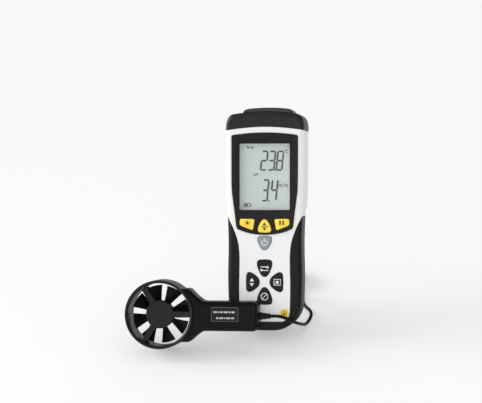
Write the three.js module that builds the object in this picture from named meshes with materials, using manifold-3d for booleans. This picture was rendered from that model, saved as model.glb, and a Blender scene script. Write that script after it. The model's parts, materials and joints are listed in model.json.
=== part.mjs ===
// A handheld vane anemometer, in millimetres, +Z up: the meter leans back on its tilt stand,
// and the vane probe stands on its ring in front of it. The cord between them is laid on the
// table: it passes the meter's right-hand corner, lies in a coil behind, and ends in a plug
// in the meter's left side.
//
// The meter is drawn in its own frame: x to the right, y up along the casing, z out of its face,
// with the origin at the middle of its rear bottom edge. The probe's frame has the same axes and
// its origin at the middle of the ring.

import * as THREE from 'three';
import { mergeVertices } from 'three/addons/utils/BufferGeometryUtils.js';
import Module from 'manifold-3d';

const wasm = await Module();
wasm.setup();

// ---------------------------------------------------------------- driving dimensions

const GAP = 0.3;                    // between pieces that touch or turn in each other

// where the meter stands
const LEAN = THREE.MathUtils.degToRad(28);
const METER_X = 43.3;               // the meter's origin, from the middle of the whole object
const METER_Y = -17.6;

// casing
const FACE_Z = 38;                  // front face, from the back of the lower casing
const HEAD_BACK_Z = -8;             // the head is deeper than the grip
const SPLIT_Z = 17.5;               // parting line of the two shells
const EDGE_ROUND = 4.5;             // round the face and the head's back
const REAR_ROUND = 10;              // round the back of the grip
const SKIN = 2;                     // thickness of boot and cap at the sides
const FACE_SKIN = 1.2;              // thickness of boot and cap on the face and the back
const WALL = 2;                     // shell wall inside them
const CAP_EDGE = 182.4;             // lower edge of the cap, at the sides
const CAP_EDGE_RISE = 3.4;          // and how far it arches up in the middle
const COLLAR_TOP = 203.3;
const COLLAR_X = 2.7;               // the sensor head sits a little to the right

// display
const WINDOW = { width: 46, height: 60.4, y: 140.1 };
const BEZEL_FLOOR_Z = FACE_Z - 1.1; // the pocket that the bezel lies in
const BEZEL_TOP_Z = FACE_Z + 1;

// keys
const KEY_BASE_Z = 33.5;
const KEY_FLANGE_Z = 34.6;
const KEY_TOP_Z = FACE_Z + 1;
const BEZEL_KEY_TOP_Z = FACE_Z + 1.8;
const PAD_Y = 44.2;                 // middle of the diamond of four keys

// battery and its cover
const DOOR = { half: 17.5, bottom: 10, top: 60.4, thickness: 1.8 };

// tilt stand
const HINGE_Y = 64;
const HINGE_Z = -3.6;
const LEG = 54;                     // hinge to the underside of the foot
const STAND_HALF = 23.5;
const ARM = 4;                      // width of each arm

// probe
const RING_RADIUS = 31.1;
const RING_BORE = 28.4;
const RING_HALF = 14.5;             // half its depth
const RING_CHAMFER = 0.9;
const HANDLE_HALF_HEIGHT = 13.4;
const HANDLE_HALF_DEPTH = 12;
const HANDLE_END = 89.9;            // from the middle of the ring
const HANDLE_DROP = 1.2;            // the handle's axis is a little below the ring's
const PROBE_X = -93.2;              // middle of the ring, in the meter's frame
const PROBE_Z = FACE_Z + 0.8 + HANDLE_HALF_DEPTH;
const BLADES = 8;
const BLADE_TIP = 26.4;
const HUB_RADIUS = 12.4;

// plug and socket, low on the meter's left side
const SOCKET_Y = 19.5;
const SOCKET_Z = 18;
const SOCKET_FACE_X = -34.6;

// cord: 3 mm thick, its route in the whole object's frame
const CORD_RADIUS = 1.5;
const COIL = { x: 48.6, y: 59, inner: 15, outer: 21, bottom: 0.8, top: 12.6 };
const LEAD_ROUTE = [
  [51.3, -55.7, 32.8], [56.7, -55.3, 32.5], [61.7, -54.7, 30.9], [66.8, -53.5, 27.6],
  [71.5, -49.7, 22.6], [74.6, -41.9, 16.4], [76.4, -30.7, 8.8], [77.9, -20.5, 3.1],
  [79.4, -13.7, 1.6], [80.7, -7.2, 1.6], [81, -1.7, 1.6], [79.8, 3.8, 1.6], [77.3, 8.3, 1.6],
  [74.2, 12.8, 1.6], [72, 18.3, 1.6], [70.8, 25.3, 1.6], [70.2, 32.3, 1.6], [69.6, 40.3, 1.7],
  [68.8, 48.3, 2],
];
const TAIL_ROUTE = [
  [27.8, 50.8, 9.5], [24.8, 44.8, 5.2], [20.2, 39.8, 2.2], [15.2, 34.8, 1.6], [11, 27.8, 1.6],
  [7.6, 18.8, 1.6], [3.1, 11.8, 1.6], [-3.4, 5.8, 1.6], [-11.4, 0.3, 1.6], [-17.8, -5.2, 1.6],
  [-22.2, -10.2, 3.2], [-24.7, -15.2, 6.8], [-25.5, -19.7, 11.6], [-23.9, -22.9, 16.6],
  [-20.3, -24.3, 20.4], [-16.1, -24.4, 21.9], [-12.8, -24.4, 22.1],
];

// ---------------------------------------------------------------- materials

const material = (color, roughness, metalness = 0) =>
  new THREE.MeshStandardMaterial({ color, roughness, metalness });

const white = material(0xdfdfda, 0.45);
const black = material(0x2b2b2b, 0.5);
const rubber = material(0x1e1e20, 0.75);
const yellow = material(0xf5d23c, 0.5);
const grey = material(0x98a1a8, 0.5);
const screenGlass = material(0xcfd8d2, 0.2);
const clear = material(0xe8ecec, 0.1);
const board = material(0x1f5a36, 0.6);
const steel = material(0xa8a8a8, 0.35, 1);
const brass = material(0xb9963f, 0.4, 1);
const pale = material(0xd9d9d2, 0.6);

// ---------------------------------------------------------------- solids

function solidOf(geometry) {
  const bare = geometry.clone();
  bare.deleteAttribute('normal');
  bare.deleteAttribute('uv');
  const merged = mergeVertices(bare, 1e-4);
  return new wasm.Manifold(new wasm.Mesh({
    numProp: 3,
    vertProperties: merged.attributes.position.array,
    triVerts: Uint32Array.from(merged.index.array),
  }));
}

function geometryOf(solid) {
  const mesh = solid.getMesh();
  const geometry = new THREE.BufferGeometry();
  geometry.setAttribute('position', new THREE.BufferAttribute(new Float32Array(mesh.vertProperties), 3));
  geometry.setIndex(new THREE.BufferAttribute(new Uint32Array(mesh.triVerts), 1));
  geometry.computeVertexNormals();
  return geometry;
}

// a block between two corners
function block(x0, x1, y0, y1, z0, z1) {
  const geometry = new THREE.BoxGeometry(x1 - x0, y1 - y0, z1 - z0);
  geometry.translate((x0 + x1) / 2, (y0 + y1) / 2, (z0 + z1) / 2);
  return solidOf(geometry);
}

// an outline drawn in x and y, extruded from z0 to z1, with rounded edges if asked
function slab(points, z0, z1, round = 0, segments = 3) {
  const geometry = new THREE.ExtrudeGeometry(new THREE.Shape(points), {
    depth: z1 - z0 - 2 * round,
    bevelEnabled: round > 0,
    bevelThickness: round,
    bevelSize: round,
    bevelOffset: -round,
    bevelSegments: segments,
  });
  geometry.translate(0, 0, z0 + round);
  return solidOf(geometry);
}

// a turned piece: its profile is [radius, height] pairs that close on themselves or on the axis
function turned(profile, segments = 24) {
  const points = profile.map(([radius, height]) => new THREE.Vector2(radius, height));
  return new THREE.LatheGeometry(points, segments);
}

const alongX = (geometry) => solidOf(geometry.rotateZ(-Math.PI / 2));
const alongY = (geometry) => solidOf(geometry);
const alongZ = (geometry) => solidOf(geometry.rotateX(Math.PI / 2));

// a plain round bar from one height to another, about the lathe's axis
function bar(radius, from, to, segments = 16) {
  return turned([[0, from], [radius, from], [radius, to], [0, to]], segments);
}

const mirrorX = (solid) => solid.mirror([1, 0, 0]);

// ---------------------------------------------------------------- outlines

const vector = ([x, y]) => new THREE.Vector2(x, y);
const smooth = (pairs, count) => new THREE.SplineCurve(pairs.map(vector)).getPoints(count);
const bend = (a, b, c, count) =>
  new THREE.QuadraticBezierCurve(vector(a), vector(b), vector(c)).getPoints(count);

function arc(x, y, radius, fromDegrees, toDegrees, count) {
  const [from, to] = [fromDegrees, toDegrees].map(THREE.MathUtils.degToRad);
  return new THREE.EllipseCurve(x, y, radius, radius, from, to, to < from).getPoints(count);
}

// leaves out a point that repeats the one before it
function distinct(points) {
  return points.filter((p, i) => p.distanceTo(points[(i + points.length - 1) % points.length]) > 0.02);
}

// a right-hand half outline, from bottom to top, made whole by its mirror image
function bothHalves(points) {
  const left = points.map((p) => new THREE.Vector2(-p.x, p.y)).reverse();
  return distinct([...points, ...left]);
}

// a counter-clockwise outline moved outwards by a distance, or inwards if it is negative
function grown(points, distance) {
  const normal = (a, b) => new THREE.Vector2(b.y - a.y, a.x - b.x).normalize();
  return points.map((p, i) => {
    const before = normal(points[(i + points.length - 1) % points.length], p);
    const after = normal(p, points[(i + 1) % points.length]);
    const mean = before.clone().add(after).normalize();
    return p.clone().addScaledVector(mean, distance / mean.dot(before));
  });
}

// a polygon with its corners rounded
function roundedPolygon(corners, radius, count = 3) {
  return distinct(corners.flatMap((corner, i) => {
    const [here, last, next] = [corner, corners.at(i - 1), corners[(i + 1) % corners.length]].map(vector);
    const start = here.clone().add(last.sub(here).setLength(radius));
    const end = here.clone().add(next.sub(here).setLength(radius));
    return new THREE.QuadraticBezierCurve(start, here, end).getPoints(count);
  }));
}

const rectangle = (halfWidth, bottom, top, radius) =>
  roundedPolygon([[-halfWidth, bottom], [halfWidth, bottom], [halfWidth, top], [-halfWidth, top]], radius);

// the casing's side, from the bottom to the given height
const side = (top) => [
  ...arc(7.6, 26, 26, -90, 0, 6),
  ...smooth([[33.6, 26], [34.2, 50], [33.7, 76], [34.2, 98], [35.2, 120], [35.6, 145], [35.7, top]], 6),
];
// how the outline closes at the top: the outer form's shoulders, and fuller ones inside the cap
const SHOULDER = {
  from: 186,
  points: [
    ...bend([35.7, 186], [35.3, 196.6], [28.2, 197.4], 4),
    ...bend([28.2, 197.4], [16, 199.2], [0, 199.4], 3),
  ],
};
const FULL_SHOULDER = { from: 176, points: [...arc(14.7, 176, 21, 0, 90, 5), vector([0, 198])] };

const wholeOutline = (shoulder) => bothHalves([...side(shoulder.from), ...shoulder.points]);

const headOutline = (shoulder) => bothHalves([
  ...bend([22.6, 104], [34.8, 104], [35.1, 117], 3),
  ...smooth([[35.1, 117], [35.6, 145], [35.7, shoulder.from]], 3),
  ...shoulder.points,
]);

// what the boot leaves open, front and back: it narrows between the grips
const BOOT_OPENING = bothHalves([
  ...arc(14.3, 17, 9, -90, 0, 4),
  ...smooth([[23.3, 17], [23.7, 40], [23.3, 64], [24.4, 79], [28.6, 92], [35.6, 106.5]], 7),
  vector([50, 131]),
  vector([50, 230]),
]);

const CAP_AREA = bothHalves([
  ...bend([0, CAP_EDGE + CAP_EDGE_RISE], [20, CAP_EDGE + CAP_EDGE_RISE], [50, CAP_EDGE - 2], 6),
  vector([50, 230]),
]);

const BEZEL = bothHalves([
  ...bend([0, 87.3], [15, 87.6], [24.6, 92.6], 5),
  ...bend([24.6, 92.6], [25.9, 93.4], [26.1, 96], 2),
  ...smooth([[26.1, 96], [27.5, 108], [29.2, 121], [30.2, 133], [30.4, 176]], 6),
  ...bend([30.4, 176], [30.4, 178], [28.4, 178.2], 2),
  ...bend([28.4, 178.2], [14, 180.3], [0, 180.3], 4),
]);

// a shield: nearly straight across the top, rounded to a point at the origin
function shield(width, height) {
  const half = width / 2;
  return bothHalves([
    ...bend([0, 0], [half * 0.35, 0], [half * 0.62, height * 0.25], 2),
    ...bend([half * 0.62, height * 0.25], [half * 1.02, height * 0.62], [half, height * 0.8], 3),
    ...bend([half, height * 0.8], [half * 0.96, height], [half * 0.6, height], 2),
    vector([0, height * 1.02]),
  ]);
}

function placed(points, x, y, turnDegrees) {
  const turn = THREE.MathUtils.degToRad(turnDegrees);
  return points.map((p) => p.clone().rotateAround(new THREE.Vector2(), turn).add(new THREE.Vector2(x, y)));
}

// ---------------------------------------------------------------- keys

const SIDE_KEY = roundedPolygon([[10.7, 91.1], [22.9, 96], [22.6, 101.9], [8.9, 101.6]], 1.5, 3);
const PAD_KEY = shield(13.6, 15.2);
const PAD_SIDE_KEY = shield(17.6, 11.8);

const KEYS = [
  { name: 'yellow_key_left', outline: SIDE_KEY.map((p) => new THREE.Vector2(-p.x, p.y)).reverse(),
    top: BEZEL_KEY_TOP_Z, finish: yellow },
  { name: 'yellow_key_middle', outline: placed(shield(12.2, 12), 0, 101.4, 180),
    top: BEZEL_KEY_TOP_Z, finish: yellow },
  { name: 'yellow_key_right', outline: SIDE_KEY, top: BEZEL_KEY_TOP_Z, finish: yellow },
  { name: 'power_key', outline: placed(shield(13, 12.2), 0, 73.6, 0), top: KEY_TOP_Z, finish: grey },
  { name: 'pad_key_top', outline: placed(PAD_KEY, 0, PAD_Y + 4.9, 0), top: KEY_TOP_Z, finish: black },
  { name: 'pad_key_bottom', outline: placed(PAD_KEY, 0, PAD_Y - 4.9, 180), top: KEY_TOP_Z, finish: black },
  { name: 'pad_key_left', outline: placed(PAD_SIDE_KEY, -4.8, PAD_Y, 90), top: KEY_TOP_Z, finish: black },
  { name: 'pad_key_right', outline: placed(PAD_SIDE_KEY, 4.8, PAD_Y, -90), top: KEY_TOP_Z, finish: black },
];

function key({ outline, top }) {
  const flange = slab(grown(outline, 0.7), KEY_BASE_Z, KEY_FLANGE_Z);
  return slab(outline, KEY_BASE_Z, top).add(flange);
}

const keyHole = ({ outline }) => slab(grown(outline, GAP), KEY_FLANGE_Z, 45);

// ---------------------------------------------------------------- casing

// the casing's outer form, drawn in from the sides by one distance and from the faces by another
function casing(inset, faceInset, shoulder, segments = 2) {
  const far = 60;
  const within = (outline) => grown(outline, -inset);
  const front = slab(within(wholeOutline(shoulder)), -far, FACE_Z - faceInset, EDGE_ROUND, segments)
    .subtract(block(-far, far, -far, 4 * far, -2 * far, SPLIT_Z));
  const grip = slab(within(wholeOutline(FULL_SHOULDER)), faceInset, far, REAR_ROUND, segments + 1);
  const head = slab(within(headOutline(shoulder)), HEAD_BACK_Z + faceInset, far, EDGE_ROUND, segments);
  return grip.add(head).subtract(block(-far, far, -far, 4 * far, SPLIT_Z, 2 * far)).add(front);
}

const SCREWS = [[-26, 177.8], [26, 177.8], [-13, 80], [13, 80]];
const SCREW_HEAD_RADIUS = 2.7;
const headSide = (y) => (y > 110 ? HEAD_BACK_Z : 0);

const outerForm = casing(0, 0, SHOULDER, 3);
const skinnedForm = casing(SKIN, FACE_SKIN, FULL_SHOULDER);
const through = (outline) => slab(outline, -30, 70);

const sensorBore = alongY(bar(6.8, 170, 230, 20)).translate([COLLAR_X - 6, 0, 20]);
const laserBore = alongY(bar(2.6, 170, 230, 12)).translate([COLLAR_X + 9, 0, 20]);
const socketBore = alongX(bar(5.6, -60, -20, 20)).translate([0, SOCKET_Y, SOCKET_Z]);

const boot = outerForm.subtract(skinnedForm).subtract(through(BOOT_OPENING)).subtract(socketBore);
const cap = outerForm.subtract(skinnedForm).intersect(through(CAP_AREA))
  .subtract(sensorBore).subtract(laserBore);

// both shells in one, before they are parted
function shells() {
  const core = casing(SKIN + GAP, FACE_SKIN + GAP, FULL_SHOULDER);
  const uncovered = outerForm.intersect(through(grown(BOOT_OPENING, -GAP)))
    .subtract(through(grown(CAP_AREA, GAP)));
  const cavity = casing(SKIN + GAP + WALL, 3, FULL_SHOULDER);
  let body = core.add(uncovered).subtract(cavity);

  // screw posts, from wall to wall
  for (const [x, y] of SCREWS) {
    const post = alongZ(bar(3.9, headSide(y) + 2, FACE_Z - 2, 14)).translate([x, y, 0]);
    body = body.add(post);
  }
  for (const [x, y] of SCREWS) {
    const back = headSide(y);
    const shankHole = alongZ(bar(1.7, back - 5, 31, 10)).translate([x, y, 0]);
    const headHole = alongZ(bar(SCREW_HEAD_RADIUS + GAP, back - 5, back + 4.5, 14)).translate([x, y, 0]);
    body = body.subtract(shankHole).subtract(headHole);
  }
  return body.subtract(sensorBore).subtract(laserBore).subtract(socketBore);
}

function frontShell(body) {
  let shell = body.subtract(block(-60, 60, -20, 230, -40, SPLIT_Z + GAP / 2));
  const view = rectangle(WINDOW.width / 2 + 0.6, WINDOW.y - 30.8, WINDOW.y + 30.8, 1.5);
  shell = shell.subtract(slab(grown(BEZEL, GAP), BEZEL_FLOOR_Z, 45)).subtract(slab(view, 30, 45));
  for (const one of KEYS) shell = shell.subtract(keyHole(one));
  return shell.subtract(slab(arc(18, 15.6, 4.4, 0, 345, 23), FACE_Z - 0.5, 45));
}

function rearShell(body) {
  let shell = body.subtract(block(-60, 60, -20, 230, SPLIT_Z - GAP / 2, 70));
  const lip = rectangle(DOOR.half + GAP, DOOR.bottom - GAP, DOOR.top + GAP, 2.5);
  const opening = rectangle(15, DOOR.bottom + 1.4, DOOR.top - 1.4, 1.5);
  shell = shell.subtract(slab(lip, -10, DOOR.thickness + GAP)).subtract(slab(opening, -10, 8));
  // lugs for the stand's stub pins
  for (const side of [-1, 1]) {
    const lug = slab(roundedPolygon([[-6.8, 60.8], [1, 60.8], [1, 67.2], [-6.8, 67.2]], 1.8), 0, 3)
      .rotate([0, 90, 0]).mirror([0, 0, 1]);
    shell = shell.add(lug.translate([side > 0 ? 16 : -19, 0, 0]));
  }
  const pinHoles = alongX(bar(1.5 + GAP, -30, 30, 12)).translate([0, HINGE_Y, HINGE_Z]);
  const between = block(-15.8, 15.8, HINGE_Y - 5, HINGE_Y + 5, -12, -0.2);
  const tripodSeat = alongZ(bar(7, HEAD_BACK_Z + 1, 2, 18)).translate([0, 116.5, 0]);
  const tripodBore = alongZ(bar(4.2 + GAP, HEAD_BACK_Z - 2, 0.8, 18)).translate([0, 116.5, 0]);
  return shell.subtract(pinHoles).subtract(between).add(tripodSeat).subtract(tripodBore);
}

// a bezel plate with the window and the three yellow keys cut out of it
function bezel() {
  const view = rectangle(WINDOW.width / 2, WINDOW.y - 30.2, WINDOW.y + 30.2, 1.5);
  let plate = slab(BEZEL, BEZEL_FLOOR_Z + GAP - 0.6, BEZEL_TOP_Z, 0.6, 1)
    .subtract(block(-60, 60, 0, 230, 0, BEZEL_FLOOR_Z + GAP)).subtract(slab(view, 30, 45));
  for (const one of KEYS.slice(0, 3)) plate = plate.subtract(keyHole(one));
  return plate;
}

// a low dome on the cap, for the infrared sensor and its laser
function collar() {
  const outline = bothHalves([
    vector([0, 192]), vector([22.6, 192]),
    ...bend([23.2, 198.8], [22.6, 201.5], [18.6, 202.2], 3),
    ...bend([18.6, 202.2], [11, COLLAR_TOP], [0, COLLAR_TOP], 3),
  ]);
  const around = grown(wholeOutline(SHOULDER), GAP);
  return slab(outline, 5, 35, 1.4, 2).translate([COLLAR_X, 0, 0]).subtract(slab(around, -20, 60))
    .subtract(alongY(bar(5.8, 190, 210, 20)).translate([COLLAR_X - 6, 0, 20]))
    .subtract(alongY(bar(2.3, 190, 210, 12)).translate([COLLAR_X + 9, 0, 20]));
}

function mainBoard() {
  let plate = slab(rectangle(28.2, 25, 168, 3), 25.5, 27.1);
  for (const [x, y] of SCREWS) plate = plate.subtract(alongZ(bar(4.3, 20, 30, 12)).translate([x, y, 0]));
  return plate;
}

function caseScrew([x, y]) {
  const back = headSide(y) + 2.4;
  const profile = [[0, back], [SCREW_HEAD_RADIUS, back + 0.3], [SCREW_HEAD_RADIUS, back + 1.8],
    [1.4, back + 1.8], [1.4, 29], [0, 30.2]];
  const slot = block(x - 0.4, x + 0.4, y - 2, y + 2, back - 1, back + 0.9);
  return alongZ(turned(profile, 12)).translate([x, y, 0]).subtract(slot);
}

const battery = () => slab(rectangle(13.1, 11.8, 57.6, 2), 3.8, 20.6)
  .add(alongY(bar(2.9, 56, 59.8, 10)).translate([-6.3, 0, 12.2]))
  .add(alongY(bar(3.9, 56, 59.8, 10)).translate([6.3, 0, 12.2]));

// the cover's grip ribs stand on its outer face
function batteryCover() {
  let cover = slab(rectangle(DOOR.half, DOOR.bottom, DOOR.top, 2.2), 0.1, DOOR.thickness);
  for (let rib = 0; rib < 3; rib += 1) {
    const y = DOOR.top - 6 - rib * 2.4;
    cover = cover.add(block(-8, 8, y, y + 1, -0.5, 0.5));
  }
  return cover;
}

// ---------------------------------------------------------------- tilt stand

const hingeHeight = HINGE_Z * Math.sin(LEAN) + HINGE_Y * Math.cos(LEAN)
  - REAR_ROUND * (Math.sin(LEAN) + Math.cos(LEAN) - 1);
const legSlant = Math.acos(hingeHeight / LEG);       // from upright, when the stand is open
const standOpen = LEAN + legSlant;

// drawn hanging from its hinge: a U of two arms and a foot, with stub pins that turn in the lugs
function stand() {
  const half = STAND_HALF;
  const outside = roundedPolygon([[-half, -LEG + 1], [half, -LEG + 1], [half, 3], [-half, 3]], 2.4);
  const inside = roundedPolygon([[-half + ARM, -LEG + 7.5], [half - ARM, -LEG + 7.5],
    [half - ARM, 8], [-half + ARM, 8]], 2.4);
  const rise = 2.4 * Math.tan(legSlant);
  const foot = slab([[2.4, -LEG + rise], [2.4, -LEG + 6.5], [-2.4, -LEG + 6.5], [-2.4, -LEG - rise]]
    .map(vector), -half + 2, half - 2).rotate([0, -90, 0]);
  let frame = slab(outside, -1.7, 1.7, 0.5, 1).subtract(slab(inside, -5, 5)).add(foot);
  for (const side of [-1, 1]) {
    const barrel = alongX(bar(3, half - ARM, half, 16));
    const stub = alongX(bar(1.5, half - ARM - 3.2, half - 1, 12));
    const both = barrel.add(stub);
    frame = frame.add(side > 0 ? both : mirrorX(both));
  }
  return frame;
}

// ---------------------------------------------------------------- probe

const HANDLE = distinct([
  ...[[15, -24.8], [27, -24.8]].map(vector),
  ...smooth([[27, -24.8], [33.7, -18.8], [39.5, -15.1], [44, -HANDLE_HALF_HEIGHT - HANDLE_DROP]], 5),
  ...arc(HANDLE_END - 5, -HANDLE_HALF_HEIGHT - HANDLE_DROP + 5, 5, -90, 0, 4),
  ...arc(HANDLE_END - 5, HANDLE_HALF_HEIGHT - HANDLE_DROP - 5, 5, 0, 90, 4),
  ...smooth([[44, HANDLE_HALF_HEIGHT - HANDLE_DROP], [39.5, 12.8], [33.7, 17], [27, 23.6]], 5),
  ...[[15, 23.6]].map(vector),
]);
const PROBE_SCREWS = [49, 79];

function probeShells() {
  let body = slab(HANDLE, -HANDLE_HALF_DEPTH, HANDLE_HALF_DEPTH, 4)
    .subtract(alongZ(bar(RING_RADIUS + GAP, -20, 20, 48)))
    .subtract(block(41, 86.4, -11.6, 9.6, -9.8, 9.8))
    .subtract(block(29, 44, -3, 3, -3, 3))
    .subtract(alongX(bar(3.2, 80, 95, 16)).translate([0, -HANDLE_DROP, 0]));
  for (const x of PROBE_SCREWS) {
    body = body.add(alongZ(bar(3.1, -10.5, 10.5, 12)).translate([x, -HANDLE_DROP, 0]));
  }
  for (const x of PROBE_SCREWS) {
    body = body.subtract(alongZ(bar(1.5, -14, 7, 10)).translate([x, -HANDLE_DROP, 0]))
      .subtract(alongZ(bar(2.7, -14, -9.4, 12)).translate([x, -HANDLE_DROP, 0]));
  }
  const labelPocket = roundedPolygon([[46.9, -6.6], [73.5, -6.6], [73.5, 8.1], [46.9, 8.1]], 1.3);
  return body.subtract(slab(labelPocket, HANDLE_HALF_DEPTH - 0.5, 20));
}

const labelPlate = () => slab(
  roundedPolygon([[47.2, -6.3], [73.2, -6.3], [73.2, 7.8], [47.2, 7.8]], 1.1),
  HANDLE_HALF_DEPTH - 0.2, HANDLE_HALF_DEPTH + 0.3);

const ring = () => alongZ(turned([
  [RING_BORE, -RING_HALF + 0.8], [RING_BORE + 0.8, -RING_HALF],
  [RING_RADIUS - RING_CHAMFER, -RING_HALF], [RING_RADIUS, -RING_HALF + RING_CHAMFER],
  [RING_RADIUS, RING_HALF - RING_CHAMFER], [RING_RADIUS - RING_CHAMFER, RING_HALF],
  [RING_BORE + 0.8, RING_HALF], [RING_BORE, RING_HALF - 0.8], [RING_BORE, -RING_HALF + 0.8],
], 40));

// a hub disc on three spokes, with a blind seat for a bearing on the rotor's side
function spider(hubRadius, spokeWidth, from, to, seatFrom, seatTo) {
  let frame = alongZ(bar(hubRadius, from, to, 32));
  for (const degrees of [0, 122, 240]) {
    const spoke = block(2, RING_BORE - GAP - 0.1, -spokeWidth / 2, spokeWidth / 2, from + 0.3, to - 0.4);
    frame = frame.add(spoke.rotate([0, 0, degrees]));
  }
  return frame.subtract(alongZ(bar(2.1 + GAP, seatFrom, seatTo, 14)));
}

const bearing = (from, to) => alongZ(turned([
  [1.2, from], [2.1, from], [2.1, to], [1.2, to], [1.2, from],
], 14));

// one blade: a box bent round the axis, its chord climbing along it like a screw
function blade(degrees) {
  const geometry = new THREE.BoxGeometry(1, 1, 1, 2, 3, 1);
  const at = geometry.attributes.position;
  for (let i = 0; i < at.count; i += 1) {
    const out = at.getX(i) + 0.5;
    const along = at.getY(i);
    const radius = THREE.MathUtils.lerp(HUB_RADIUS - 1, BLADE_TIP, out);
    const spread = THREE.MathUtils.degToRad(THREE.MathUtils.lerp(22, 30, out));
    const angle = THREE.MathUtils.degToRad(degrees) + along * spread;
    const height = -1 + along * 7.6 + at.getZ(i) * 0.9;
    at.setXYZ(i, radius * Math.cos(angle), radius * Math.sin(angle), height);
  }
  return solidOf(geometry);
}

function rotor() {
  let wheel = alongZ(bar(HUB_RADIUS, -3.4, 1.4, 32));
  for (let i = 0; i < BLADES; i += 1) wheel = wheel.add(blade(15.5 + i * 360 / BLADES));
  return wheel.subtract(alongZ(bar(0.9 + GAP, -20, 20, 12)));
}

const probeRelief = () => alongX(turned([
  [0, 83.6], [4.2, 83.6], [4.2, 85.9], [2.9, 85.9], [2.9, HANDLE_END + GAP], [3.5, HANDLE_END + GAP],
  [3.3, HANDLE_END + 3], [2.3, HANDLE_END + 11], [0, HANDLE_END + 11],
], 16)).translate([0, -HANDLE_DROP, 0]);

const probeScrew = (x) => alongZ(turned([
  [0, -11.6], [2.4, -11.4], [2.4, -9.8], [1.2, -9.8], [1.2, 5.6], [0, 6.4],
], 12)).translate([x, -HANDLE_DROP, 0]);

// ---------------------------------------------------------------- plug, socket and cord

const socket = () => alongX(turned([
  [0, -22], [4.6, -22], [4.6, -32.6], [5.2, -32.9], [5.2, SOCKET_FACE_X], [2.1, SOCKET_FACE_X], [2.1, -25],
  [0, -25],
].reverse(), 18)).translate([0, SOCKET_Y, SOCKET_Z]);

const plug = () => alongX(turned([
  [0, -48.6], [4.1, -48.6], [4.3, -46.6], [4.3, -37], [3.8, SOCKET_FACE_X - GAP], [1.75, SOCKET_FACE_X - GAP],
  [1.75, -27], [0, -26],
], 18)).translate([0, SOCKET_Y, SOCKET_Z]);

const plugRelief = () => alongX(turned([
  [0, -55.8], [2.2, -55.8], [3.4, -48.6 - GAP], [0, -48.6 - GAP],
], 14)).translate([0, SOCKET_Y, SOCKET_Z]);

function cordTube(route) {
  const path = new THREE.CatmullRomCurve3(route.map((p) => new THREE.Vector3(...p)), false, 'centripetal');
  const section = new THREE.Shape(arc(0, 0, CORD_RADIUS, 0, 315, 7));
  const steps = Math.round(path.getLength() / (5 * CORD_RADIUS));
  return solidOf(new THREE.ExtrudeGeometry(section, { steps, bevelEnabled: false, extrudePath: path }));
}

const coil = () => alongZ(turned([
  [COIL.inner, 0], [COIL.outer, 0], [COIL.outer, COIL.top - COIL.bottom],
  [COIL.inner, COIL.top - COIL.bottom], [COIL.inner, 0],
], 28)).translate([COIL.x, COIL.y, COIL.bottom]);

// a strap round the coil's bundle, at its far side
function tie() {
  const half = (COIL.outer - COIL.inner) / 2;
  const middle = (COIL.outer + COIL.inner) / 2;
  const outside = block(-2.2, 2.2, middle - half - 1, middle + half + 1, 0, COIL.top + 0.8);
  const bundle = alongZ(turned([
    [COIL.inner - GAP, COIL.bottom - GAP], [COIL.outer + GAP, COIL.bottom - GAP],
    [COIL.outer + GAP, COIL.top + GAP], [COIL.inner - GAP, COIL.top + GAP],
    [COIL.inner - GAP, COIL.bottom - GAP],
  ], 28));
  return outside.subtract(bundle).translate([COIL.x, COIL.y, 0]);
}

// ---------------------------------------------------------------- assembly

function add(group, name, solid, finish) {
  const mesh = new THREE.Mesh(geometryOf(solid), finish);
  mesh.name = name;
  group.add(mesh);
}

const anemometer = new THREE.Group();
const meter = new THREE.Group();
meter.rotation.x = Math.PI / 2 - LEAN;
meter.position.set(METER_X, METER_Y, -REAR_ROUND * (Math.sin(LEAN) + Math.cos(LEAN) - 1));
anemometer.add(meter);

const bothShells = shells();
add(meter, 'front_shell', frontShell(bothShells), white);
add(meter, 'rear_shell', rearShell(bothShells), white);
add(meter, 'rubber_boot', boot, rubber);
add(meter, 'top_cap', cap, black);
add(meter, 'sensor_collar', collar(), black);
add(meter, 'ir_lens', alongY(bar(5.4, 199.8, 201.8, 20)).translate([COLLAR_X - 6, 0, 20]), clear);
add(meter, 'ir_sensor', alongY(bar(5.4, 180, 199.3, 20)).translate([COLLAR_X - 6, 0, 20]), steel);
add(meter, 'laser_window', alongY(bar(2, 200.6, 202.2, 12)).translate([COLLAR_X + 9, 0, 20]), clear);
add(meter, 'laser_module', alongY(bar(2, 184, 200.2, 12)).translate([COLLAR_X + 9, 0, 20]), brass);

add(meter, 'lcd_bezel', bezel(), black);
add(meter, 'lcd_window', slab(rectangle(WINDOW.width / 2 - GAP, WINDOW.y - 29.9, WINDOW.y + 29.9, 1.2),
  BEZEL_FLOOR_Z + GAP, FACE_Z + 0.2), clear);
add(meter, 'lcd_panel', slab(rectangle(24.8, 107, 173, 1), 32.2, 34.6), screenGlass);
add(meter, 'backlight_panel', slab(rectangle(24.8, 107, 171, 1), 29.9, 31.9), pale);
add(meter, 'main_board', mainBoard(), board);
add(meter, 'key_membrane', slab(rectangle(23.6, 22, 105, 2), 30, 32.2)
  .subtract(alongZ(bar(4.3, 20, 40, 12)).translate([13, 80, 0]))
  .subtract(alongZ(bar(4.3, 20, 40, 12)).translate([-13, 80, 0])), grey);
add(meter, 'buzzer', alongZ(bar(6, 20.5, 25.2, 20)).translate([18, 96, 0]), black);
add(meter, 'face_badge', slab(arc(18, 15.6, 4.1, 0, 345, 23), FACE_Z - 0.2, FACE_Z + 0.3), yellow);
for (const one of KEYS) add(meter, one.name, key(one), one.finish);

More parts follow.
